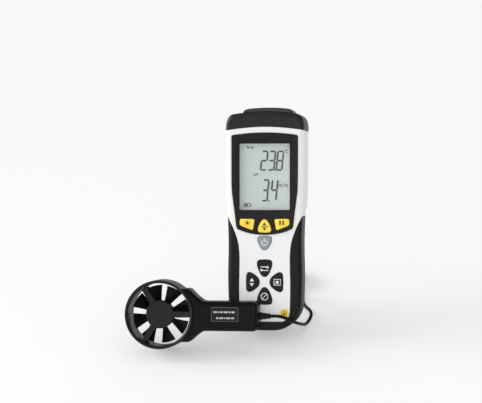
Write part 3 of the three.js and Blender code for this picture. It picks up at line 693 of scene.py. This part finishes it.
boot = csg(OUTER, ("-", SKINNED), ("-", through(BOOT_OPENING, FACE_Z, 0.0, 0.55)), ("-", SOCKET_BORE))
piece("boot", boot, METER, "meter", BOOT, "rubber_boot")
cap = csg(PROUD, ("-", SKINNED), ("&", slab(CAP_AREA, HEAD_BACK_Z - 0.3, FACE_Z + 0.3, 0.5, 0.5)),
          ("-", IR_BORE), ("-", LASER_BORE))
piece("cap", cap, METER, "meter", CAP, "top_cap")

SCREWS = [(-26, 177.8, HEAD_BACK_Z), (26, 177.8, HEAD_BACK_Z), (-13, 80, 0), (13, 80, 0)]
CORE = casing(2.3, 1.5, FULL_SHOULDER, 5)
CAVITY = casing(4.3, 3, FULL_SHOULDER, 3)
opening = grown(BOOT_OPENING, -GAP)
under_cap = slab(grown(CAP_AREA, GAP), -30, 60)
shells = csg(csg(OUTER, ("&", slab(opening, 0.0, FACE_Z, 0.45, 0.45)), ("-", under_cap)), ("+", CORE))
head_back = csg(OUTER, ("&", slab(opening, HEAD_BACK_Z, 2)), ("-", under_cap))
shells = csg(shells, ("+", head_back), ("-", CAVITY))
for x, y, back in SCREWS:
    shells = csg(shells, ("+", shifted(bar(3.9, back + 2, FACE_Z - 2, 24), (x, y, 0))))
for x, y, back in SCREWS:
    shells = csg(shells, ("-", shifted(bar(1.7, back - 5, 31, 20), (x, y, 0))),
                 ("-", shifted(bar(3.0, back - 5, back + 4.5, 32), (x, y, 0))))
shells = csg(shells, ("-", IR_BORE), ("-", LASER_BORE), ("-", SOCKET_BORE))

key_holes = [csg(through(grown(outline, GAP), FACE_Z, None, 0.35, 4),
                 ("-", block(-60, 60, -60, 300, -90, 30))) for outline, _ in KEYS.values()]
front = csg(shells, ("-", block(-60, 60, -20, 230, -40, SPLIT_Z + GAP / 2)),
            ("-", slab(grown(BEZEL, GAP), 36.9, 45)), ("-", slab(rectangle(23.6, 109.3, 170.9, 1.5), 30, 45)))
for hole in key_holes:
    front = csg(front, ("-", hole))
front = csg(front, ("-", slab(circle(BADGE_X, BADGE_Y, 4.45), 37.5, 45)))
piece("front_case", front, METER, "meter", WHITE, "front_shell")

lip, bay = rectangle(17.8, 9.7, 60.7, 2.6), rectangle(15, 11.4, 59, 1.5)
rear = csg(shells, ("-", block(-60, 60, -20, 230, SPLIT_Z - GAP / 2, 70)),
           ("-", slab(lip, -10, 2.1)), ("-", slab(bay, -10, 8)))
lug = slab(rounded(box(-6.8, 60.8, 1, 67.2), 1.9), 0, 3, 0.4, 0.4, 3)
lug = shifted(lug, (90, "Y"))
lug.transform(Matrix.Scale(-1, 4, (0, 0, 1)))
lug.flip_normals()
for x in (16, -19):
    rear = csg(rear, ("+", shifted(lug, (x, 0, 0))))
rear = csg(rear, ("-", along_x(bar(1.8, -30, 30, 24), *HINGE)), ("-", block(-15.8, 15.8, 59, 69, -12, -0.2)),
           ("+", shifted(bar(7, -7, 2, 48), (0, TRIPOD_Y, 0))),
           ("-", shifted(bar(4.5, -10, 0.8, 48), (0, TRIPOD_Y, 0))))
piece("rear_case", rear, METER, "meter", WHITE, "rear_shell")

cover = slab(rectangle(17.5, 10, 60.4, 2.2), 0.1, 1.8, 0, 0.5, 4)
for k in range(3):
    y = 54.4 - 2.4 * k
    rib = rounded(box(-8, y, 8, y + 1), 0.45, 4)
    cover = csg(cover, ("+", slab(rib, -0.5, 0.6, 0, 0.3, 3)))
piece("cover", cover, METER, "battery_cover", WHITE, "battery_cover")

# ---------------------------------------------------------------- display

plate = csg(slab(BEZEL, 36.2, BEZEL_TOP_Z, 0.75, 0, 5), ("-", block(-60, 60, 0, 230, 30, 37.2)))
plate = csg(plate, ("-", slab(rectangle(25.4, 107.6, 172.9, 1.6), 38.45, 45, -0.35)),
            ("-", through(rectangle(23, 109.9, 170.3, 1.2), 38.45, None, 0.25, 4)))
for name in ("yellow_key_left", "yellow_key_middle", "yellow_key_right"):
    plate = csg(plate, ("-", through(grown(KEYS[name][0], GAP), BEZEL_TOP_Z, None, 0.3, 4)))
piece("bezel", plate, METER, "meter", FRAME_BLACK, "lcd_bezel")
piece("window", slab(rectangle(22.7, 110.2, 170, 1.0), 37.2, 38.2, 0.15), METER, "meter", CLEAR,
      "lcd_window")

SEGMENTS = {"2": "abged", "3": "abgcd", "4": "fgbc", "8": "abcdefg"}


def digit(figure, x, y, w, h, t):
    """Slanted seven-segment strokes, each pointed at its ends."""
    m, g, mid = t / 2, 0.14, y + h / 2
    lines = {"a": (x + m, y + h - m, x + w - m, y + h - m), "g": (x + m, mid, x + w - m, mid),
             "d": (x + m, y + m, x + w - m, y + m), "f": (x + m, mid, x + m, y + h - m),
             "b": (x + w - m, mid, x + w - m, y + h - m), "e": (x + m, y + m, x + m, mid),
             "c": (x + w - m, y + m, x + w - m, mid)}
    shapes = []
    for s in SEGMENTS[figure]:
        a, b = Vector(lines[s][:2]), Vector(lines[s][2:])
        d = (b - a).normalized()
        n = Vector((-d.y, d.x)) * m
        a, b = a + d * g, b - d * g
        shapes.append([a, a + d * m - n, b - d * m - n, b, b - d * m + n, a + d * m + n])
    return [[Vector((p.x + (p.y - y) * 0.1, p.y)) for p in shape] for shape in shapes]


def plates(shapes, z, height=0.06):
    return joined([slab(s, z, z + height) for s in shapes])


figures = [*digit("2", -4.9, 145.7, 6.4, 18.3, 1.35), *digit("3", 2.2, 145.7, 6.4, 18.3, 1.35),
           *digit("8", 9.5, 145.7, 6.4, 18.3, 1.35), box(8.7, 145.7, 9.7, 147.0),
           *digit("3", -3.9, 117.7, 6.2, 20.2, 1.4), *digit("4", 4.3, 117.7, 6.2, 20.2, 1.4),
           box(2.7, 117.7, 3.8, 119.1)]


def stroke(points, width):
    """A narrow strip along the points, as an outline."""
    p = [Vector(q) for q in points]
    left, right = [], []
    for i, q in enumerate(p):
        d = (p[min(i + 1, len(p) - 1)] - p[max(i - 1, 0)]).normalized()
        n = Vector((-d.y, d.x)) * width / 2
        left.append(q + n)
        right.append(q - n)
    return [*right, *reversed(left)]


def flip(points):
    """The outline, turned to run anticlockwise."""
    area = sum(a.x * b.y - b.x * a.y for a, b in zip(points, [*points[1:], points[0]]))
    return points if area > 0 else list(reversed(points))


small = [stroke(arc(18.3, 164.1, 0.45, 0, 345, 12), 0.28), stroke(arc(20.6, 163.2, 1.3, 60, 300, 14), 0.42)]
small += [stroke([(x0, y0), (x1, y1)], 0.4) for x0, y0, x1, y1 in (
    (12.6, 131, 12.6, 133), (12.6, 133, 14.2, 133), (13.9, 131, 13.9, 133), (15.2, 131, 15.2, 133),
    (13.9, 133, 15.2, 133), (16.2, 130.6, 18, 134.4), (18.8, 131.1, 20.8, 131.1), (20.7, 131, 20.7, 132),
    (18.9, 132, 20.8, 132), (18.9, 132, 18.9, 133), (18.8, 133, 20.8, 133), (-19.4, 113, -13.6, 113),
    (-19.4, 115.8, -13.6, 115.8), (-19.4, 113, -19.4, 115.8), (-13.6, 113, -13.6, 115.8),
    (-13, 113.8, -13, 115))]
small += [box(-18.8, 113.6, -17.5, 115.2), box(-17.1, 113.6, -15.8, 115.2),
          box(-16.5, 166.1, -15.9, 168.5), box(-15.4, 166.1, -14.8, 167.9), box(-14.3, 166.1, -13.7, 167.3),
          [Vector((-12.8, 166.1)), Vector((-10.6, 166.1)), Vector((-11.7, 168.3))],
          [Vector((-10.4, 141.1)), Vector((-8.7, 141.1)), Vector((-9.55, 143.2))],
          [Vector((-8.2, 143.2)), Vector((-7.35, 141.1)), Vector((-6.5, 143.2))]]
piece("figures", plates([flip(s) for s in [*figures, *small]], 34.85), METER, "meter", INK,
      weighted=False)

# ---------------------------------------------------------------- keys and their marks


def on_top(shapes, key, lift=0.03):
    """The shapes laid on a key's crowned top."""
    tree = BVHTree.FromPolygons([v.co for v in key.vertices], [tuple(p.vertices) for p in key.polygons])
    mesh = joined([slab(dense(flip(shape), 0.4), 0, 0.03) for shape in shapes])
    work = bmesh.new()
    work.from_mesh(mesh)
    bmesh.ops.triangulate(work, faces=work.faces)
    for v in work.verts:
        hit = tree.ray_cast(Vector((v.co.x, v.co.y, 60)), Vector((0, 0, -1)))[0]
        if hit:
            v.co.z += hit.z + lift
    work.to_mesh(mesh)
    work.free()
    return mesh


def triangle(x, y, size, up=True):
    s = size if up else -size
    return [Vector((x + size * a, y + s * b)) for a, b in ((-0.6, -0.5), (0.6, -0.5), (0, 0.5))]


def circle_line(x, y, r, width, start=0, end=352):
    return stroke(arc(x, y, r, start, end, 28), width)


def sun(x, y):
    rays = [Vector((math.cos(a), math.sin(a))) for a in [math.pi / 4 * i for i in range(8)]]
    centre = Vector((x, y))
    return [circle(x, y, 1.3, 20), *[stroke([centre + 1.8 * ray, centre + 2.7 * ray], 0.55) for ray in rays]]


MARKS = {
    "yellow_key_left": sun(-15.6, 98.2),
    "yellow_key_middle": [triangle(0, 97.3, 2.8), triangle(0, 92.3, 2.8, False),
                          stroke([(-2.9, 94.8), (2.9, 94.8)], 0.75)],
    "yellow_key_right": [box(13.6, 96.2, 15.1, 100.2), box(16.4, 96.2, 17.9, 100.2)],
    "power_key": [circle_line(0, 80.3, 2.5, 0.7, 125, 415), stroke([(0, 80.6), (0, 83.8)], 0.7)],
    "pad_key_top": [stroke([(-3.6, 58.1), (2.7, 58.1)], 0.75), triangle(2.9, 58.1, 2.3),
                    stroke([(3.6, 54.9), (-2.7, 54.9)], 0.75), triangle(-2.9, 54.9, 2.3, False)],
    "pad_key_bottom": [circle_line(0, 31.1, 3.1, 0.7), stroke([(-2.2, 28.9), (2.2, 33.3)], 0.6)],
    "pad_key_left": [triangle(-11.6, 46.5, 3.2), triangle(-11.6, 41.7, 3.2, False)],
    "pad_key_right": [stroke([(8.7, 41.6), (8.7, 46.8), (14.6, 46.8), (14.6, 41.6), (8.7, 41.6)], 0.7),
                      box(10.3, 43.0, 13.0, 45.4)],
}
# key material and slot, then the mark's
LOOKS = {"yellow": (YELLOW, "yellow_rubber", PRINT_DARK, "black_plastic"),
         "power": (KEY_GREY, "grey_rubber", PRINT_WHITE, "white_plastic"),
         "pad": (KEY_BLACK, "black_plastic", PRINT_WHITE, "white_plastic")}
for name, (outline, top) in KEYS.items():
    colour, look, ink, ink_look = LOOKS[name.split("_")[0]]
    rim = dense(outline, 0.7)
    key = pillow(rim, KEY_BASE_Z, top, 0.8, 0.45)
    flange = slab(grown(rim, 0.7), KEY_BASE_Z, 34.6)
    piece(name + "_cap", csg(key, ("+", flange)), METER, name, colour, name)
    piece(name + "_mark", on_top(MARKS[name], key), METER, name, ink, weighted=False)

badge = turned([(0, 37.8), (4.1, 37.8), (4.1, 38.25), (3.95, 38.4), (3.3, 38.4), (3.15, 38.3),
                (0, 38.34)], 64)
piece("badge", shifted(badge, (BADGE_X, BADGE_Y, 0)), METER, "meter", YELLOW, "face_badge")
badge_signs = [flip(circle(BADGE_X, 15.4, 1.1, 24)), flip(circle_line(BADGE_X, 15.4, 2.3, 0.5))]
piece("badge_mark", plates(badge_signs, 38.33, 0.05), METER, "meter", PRINT_DARK,
      weighted=False)

# ---------------------------------------------------------------- sensor head

collar_line = both_halves([
    Vector((0, 192)), Vector((22.6, 192)), *bend((23.2, 198.8), (22.6, 201.5), (18.6, 202.2), 10),
    *bend((18.6, 202.2), (11, 203.3), (0, 203.3), 8)])
ir_mouth = turned([(0, 190), (5.8, 190), (5.8, 202.2), (6.9, 203.4), (6.9, 210), (0, 210)])
laser_mouth = turned([(0, 190), (2.3, 190), (2.3, 202.6), (3, 203.4), (3, 210), (0, 210)])
collar = csg(shifted(slab(dense(collar_line, 1.2), 5, 35, 1.6, 1.6, 6), (2.7, 0, 0)),
             ("-", slab(grown(whole_outline(SHOULDER), 0.5), -20, 60)),
             ("-", along_y(ir_mouth, IR_X, HEAD_Z)), ("-", along_y(laser_mouth, LASER_X, HEAD_Z)))
# the collar's paler colour is painted light on its front face, not a different plastic
piece("collar", collar, METER, "meter", COLLAR_PAINTED_LIGHT, "sensor_collar")
lens = turned([(0, 199.8), (5.4, 199.8), (5.4, 200.8), (5.2, 201.0), (4.2, 201.4), (2.4, 201.7), (0, 201.8)])
piece("lens", along_y(lens, IR_X, HEAD_Z), METER, "meter", LENS, "ir_lens")
laser_pane = turned([(0, 200.6), (2, 200.6), (2, 202), (1.8, 202.2), (0, 202.2)], 40)
piece("laser_pane", along_y(laser_pane, LASER_X, HEAD_Z), METER, "meter", CLEAR,
      "laser_window")

# ---------------------------------------------------------------- tilt stand

u_line = rounded(box(-23.5, -53, 23.5, 3), [2.6, 2.6, 2.8, 2.8], 7)
u_hole = rounded(box(-19.5, -46.5, 19.5, 12), 2.6, 7)
slant = math.radians(STAND_OPEN - LEAN)
rise = 2.4 * math.tan(slant)
foot_line = [Vector(p) for p in ((2.4, -54 + rise), (2.4, -47.5), (-2.4, -47.5), (-2.4, -54 - rise))]
foot = slab(foot_line, -21.5, 21.5, 0.3, 0.3, 3)
u = csg(slab(u_line, -1.7, 1.7, 0.7, 0.7, 5), ("-", through(u_hole, 1.7, -1.7, 0.5)),
        ("+", shifted(foot, (-90, "Y"))))
arm = turned(soften([(0, 19.5), (3, 19.5), (3, 23.5), (0, 23.5)], 0.5))
stub = bar(1.5, 16.3, 22.5, 32)
for degrees in (-90, 90):
    for one in (arm, stub):
        u = csg(u, ("+", shifted(one, (degrees, "Y"))))
piece("stand", u, STAND, "tilt_stand", FRAME_BLACK, "tilt_stand")

# ---------------------------------------------------------------- probe

HANDLE = distinct([
    Vector((15, -24.8)), *bend((25.2, -24.8), (27, -24.8), (28.3, -23.7), 5),
    *smooth([(28.3, -23.7), (33.7, -18.8), (39.5, -15.1), (44, -14.6)], 14),
    *arc(84.9, -9.6, 5, -90, 0, 12), *arc(84.9, 7.2, 5, 0, 90, 12),
    *smooth([(44, 12.2), (39.5, 12.8), (33.7, 17), (28.3, 22.4)], 14),
    *bend((28.3, 22.4), (27, 23.6), (25.2, 23.6), 5), Vector((15, 23.6))])
handle = csg(slab(HANDLE, -12, 12, 4, 4, 8), ("-", bar(31.4, -20, 20, 128)),
             ("-", block(41, 86.4, -11.6, 9.6, -9.8, 9.8)), ("-", block(29, 44, -3, 3, -3, 3)),
             ("-", along_x(bar(3.2, 80, 95), -DROP, 0)))
PROBE_SCREWS = (49, 79)
for x in PROBE_SCREWS:
    handle = csg(handle, ("+", shifted(bar(3.1, -10.5, 10.5, 24), (x, -DROP, 0))))
countersink = turned([(0, -14), (3.2, -14), (3.2, -12.1), (2.7, -11.6), (2.7, -9.4), (0, -9.4)], 40)
for x in PROBE_SCREWS:
    handle = csg(handle, ("-", shifted(bar(1.5, -14, 7, 20), (x, -DROP, 0))),
                 ("-", shifted(countersink, (x, -DROP, 0))))
label_line = rounded(box(46.9, -6.6, 73.5, 8.1), 1.3)
handle = csg(handle, ("-", slab(label_line, 11.5, 20)))
piece("handle_front", csg(handle, ("-", block(0, 99, -40, 40, -20, 0.12))), PROBE, "probe", PROBE_BLACK,
      "probe_shell_front")
piece("handle_rear", csg(handle, ("-", block(0, 99, -40, 40, -0.12, 20))), PROBE, "probe", PROBE_BLACK,
      "probe_shell_rear")
piece("label", slab(grown(label_line, -0.25), 11.8, 12.2, 0.15, 0, 3), PROBE, "probe", FRAME_BLACK,
      "probe_label")
frame_line = rounded(box(48.1, -5.5, 72.3, 7.0), 0.9)
border = csg(slab(frame_line, 12.15, 12.25), ("-", slab(grown(frame_line, -0.26), 10, 20)))
# two lines of plain dashes: where each line starts, and the width of its dashes
LABEL_LINES = [(49.9, 2.0, (3.2, 1.5, 2.4, 4.1, 1.5, 3.0)), (52.3, -3.4, (2.2, 3.4, 1.2, 4.0, 2.6))]
dashes = []
for x, y, widths in LABEL_LINES:
    for width in widths:
        dashes.append(box(x, y, x + width, y + 1.5))
        x += width + 0.75
piece("label_frame", border, PROBE, "probe", PRINT_GREY, weighted=False)
piece("label_marks", plates(dashes, 12.15, 0.1), PROBE, "probe", PRINT_SOFT, weighted=False)

duct = turned(soften([(28.4, -14.0), (29.0, -14.5), (31.1, -14.5), (31.1, 14.5), (29.5, 14.5), (29.5, 13.1),
                      (28.4, 12.5), (28.4, -14.0)], 0.75, 5), 144)
piece("duct", duct, PROBE, "probe", DUCT_BLACK, "vane_ring")


def spider(hub, width, tip_width, z0, z1, seat):
    body = turned(soften([(0, z0), (hub, z0), (hub, z1 - 0.5), (hub - 1.0, z1), (0, z1 + 0.1)], 0.45), 96)
    a, b = width / 2, tip_width / 2
    line = rounded([(2, -a), (28.0, -b), (28.0, b), (2, a)], 0.3, 3)
    spoke = slab(dense(line, 3), z0 + 0.3, z1 - 0.4, 0.7, 0.5, 4)
    for degrees in (0, 122, 240):
        body = csg(body, ("+", shifted(spoke, (degrees, "Z"))))
    return csg(body, ("-", bar(2.4, *seat, 32)))


piece("front_hub", spider(12.8, 6.4, 5.2, 4.4, 8.0, (4, 6.6)), PROBE, "probe", DUCT_BLACK,
      "front_spider")
piece("rear_hub", spider(8, 4.2, 3.6, -10.2, -6.6, (-8.8, -6)), PROBE, "probe", DUCT_BLACK,
      "rear_spider")


def blade(degrees):
    """A thin twisted sheet from the hub to the tip, thinning towards its edges."""
    outs, alongs = 10, 14
    top, low = [], []
    for i in range(outs + 1):
        f = i / outs
        radius = 11.4 + 15 * f
        spread = math.radians(26 + 6 * f)
        for j in range(alongs + 1):
            g = j / alongs - 0.5
            a = math.radians(degrees) + g * spread
            thick = 0.14 + 0.36 * (1 - (2 * g) ** 2)
            arch = 0.5 * (1 - (2 * g) ** 2)
            z = -1 + g * (7.8 - 0.8 * f) + arch
            top.append(Vector((radius * math.cos(a), radius * math.sin(a), z + thick)))
            low.append(Vector((radius * math.cos(a), radius * math.sin(a), z - thick)))
    w, n = alongs + 1, len(top)
    faces = []
    for i in range(outs):
        for j in range(alongs):
            q = (i * w + j, (i + 1) * w + j, (i + 1) * w + j + 1, i * w + j + 1)
            faces += [q, tuple(n + k for k in reversed(q))]
    rim = [*range(alongs), *[i * w + alongs for i in range(outs)],
           *[outs * w + alongs - j for j in range(alongs)], *[(outs - i) * w for i in range(outs)]]
    for a, b in zip(rim, [*rim[1:], rim[0]]):
        faces.append((a, b, n + b, n + a))
    return welded(mesh_of([*top, *low], faces))


BLADES = 8
wheel = turned(soften([(0, -3.4), (12.4, -3.4), (12.4, 1.4), (0, 1.4)], 0.7), 96)
for i in range(BLADES):
    wheel = csg(wheel, ("+", blade(15.5 + i * 360 / BLADES)))
wheel = csg(wheel, ("-", bar(1.2, -20, 20, 24)))
piece("wheel", wheel, PROBE, "rotor", BLADE_BLACK, "rotor")

# ---------------------------------------------------------------- strain reliefs, plug, socket and tie


def ribs(r0, r1, x0, x1, count, depth):
    """A tapered profile with soft ribs."""
    out = []
    for i in range(count):
        f0, f1, f2 = i / count, (i + 0.62) / count, (i + 0.8) / count
        for f, cut in ((f0, 0), (f1, 0), (f1 + 0.01, depth), (f2 + 0.03, depth)):
            out.append((r0 + (r1 - r0) * f - cut, x0 + (x1 - x0) * f))
    return [*out, (r1, x1)]


relief = turned(soften([(0, 83.6), (4.2, 83.6), (4.2, 85.9), (2.9, 85.9), (2.9, 90.2), (3.5, 90.2),
                        (3.45, 92.3), *ribs(3.2, 2.3, 92.5, 100.5, 4, 0.45), (0, 100.9)], 0.3, 3), 48)
piece("relief", along_x(relief, -DROP, 0), PROBE, "probe", BOOT, "probe_relief")

socket = turned(soften([(0, -22), (4.6, -22), (4.6, -32.6), (5.2, -32.9), (5.2, -34.6), (2.1, -34.6),
                        (2.1, -25), (0, -25)], 0.25, 3), 64)
piece("jack", along_x(socket, SOCKET_Y, SOCKET_Z), METER, "meter", FRAME_BLACK,
      "probe_socket")
grip = [(4.3 - (0.3 if i % 2 else 0), -46.2 + 0.75 * i) for i in range(12)]
plug = turned(soften([(0, -48.6), (3.7, -48.6), (4.3, -48), *grip, (3.8, -34.9), (1.75, -34.9), (1.75, -27),
                      (0, -26)], 0.25, 3), 64)
plug = piece("plug_body", along_x(plug, SOCKET_Y, SOCKET_Z), METER, "meter", FRAME_BLACK,
             "plug")
rings = [(2.2 + 1.2 * i / 8 - (0.35 if i % 2 else 0), -55.6 + 0.8 * i) for i in range(1, 8)]
plug_relief = turned(soften([(0, -55.8), (2.2, -55.8), *rings, (3.4, -48.9), (0, -48.9)], 0.2, 3), 48)
plug_relief = piece("plug_sleeve", along_x(plug_relief, SOCKET_Y, SOCKET_Z), METER, "meter", BOOT,
                    "plug_relief")

inner = rounded(box(14.85, 0.62, 21.15, 12.85), 1.1)
clasp = rounded([(21.3, 4.5), (22.0, 4.8), (22.0, 8.9), (21.3, 9.2)], 0.3)
band = csg(slab(grown(inner, 0.55), -2.2, 2.2, 0.2, 0.2, 3), ("-", slab(inner, -9, 9)),
           ("+", slab(clasp, -2.2, 2.2, 0.2, 0.2, 3)))
band.transform(Matrix(((0, 0, 1, COIL_CENTRE[0]), (1, 0, 0, COIL_CENTRE[1]), (0, 1, 0, 0), (0, 0, 0, 1))))
tie = piece("tie", band, ROW, "meter", KEY_BLACK, "cord_tie")

# ---------------------------------------------------------------- carried-over nodes

KEPT = {
    PANEL: ["lcd_panel"], DIFFUSER: ["backlight_panel"], BOARD: ["main_board", "pickup_board"],
    KEY_GREY: ["key_membrane"], CAP: ["buzzer", "battery_snap"], CAN: ["battery"],
    STEEL: ["ir_sensor", "rotor_shaft", "probe_screw_1", "probe_screw_2",
            *[f"case_screw_{i}" for i in range(1, 5)]],
    BRASS: ["laser_module", "tripod_insert", "front_bearing", "rear_bearing"],
}
for finish, names in KEPT.items():
    for name in names:
        node = frame["nodes"][name]
        node.data.materials.clear()
        node.data.materials.append(finish)

# ---------------------------------------------------------------- floor and light

# the room is bright for the camera and for diffuse light, and dim where the black plastic mirrors it
FLOOR_GLOW, FLOOR_GLOW_MIRRORED = 0.39, 0.04
ROOM, ROOM_MIRRORED = 0.84, 0.12

table = bpy.data.objects.new("table", slab(circle(0, 0, 6.0, 96), -0.02, 0))
scene.collection.objects.link(table)
paper, tree, shader, link = nodes_of("table_paper")
shader.inputs["Base Color"].default_value = (0.46, 0.46, 0.46, 1)
shader.inputs["Roughness"].default_value = 0.9
shader.inputs["Specular IOR Level"].default_value = 0.0
shader.inputs["Emission Color"].default_value = (1, 1, 1, 1)
mirrored = tree.nodes.new("ShaderNodeLightPath").outputs["Is Glossy Ray"]
link(ranged(tree, mirrored, FLOOR_GLOW, FLOOR_GLOW_MIRRORED), shader.inputs["Emission Strength"])
table.data.materials.append(paper)

world = bpy.data.worlds.new("studio")
scene.world = world
world.use_nodes = True
tree = world.node_tree
sky = tree.nodes["Background"]
mirrored = tree.nodes.new("ShaderNodeLightPath").outputs["Is Glossy Ray"]
tree.links.new(ranged(tree, mirrored, ROOM, ROOM_MIRRORED), sky.inputs["Strength"])
sky.inputs["Color"].default_value = (1, 1, 1, 1)
scene.view_settings.view_transform = "Standard"


def area_light(name, place, aim, size, power):
    lamp = bpy.data.lights.new(name, "AREA")
    lamp.shape, lamp.size, lamp.size_y = "RECTANGLE", size[0], size[1]
    lamp.energy = power
    o = bpy.data.objects.new(name, lamp)
    scene.collection.objects.link(o)
    o.location = place
    o.rotation_euler = (Vector(aim) - Vector(place)).to_track_quat("-Z", "Y").to_euler()


key_light = bpy.data.lights.new("key", "SUN")
key_light.energy = 2.2
key_light.angle = math.radians(32)
key_object = bpy.data.objects.new("key", key_light)
scene.collection.objects.link(key_object)
key_object.rotation_euler = Vector((2.6, -0.45, -1.4)).to_track_quat("-Z", "Y").to_euler()
area_light("strip", (-0.7, -0.45, 0.3), (0.04, 0, 0.1), (0.1, 0.5), 1.2)
area_light("front", (0.3, -1.6, 0.9), (0.04, 0, 0.1), (0.9, 0.4), 3)
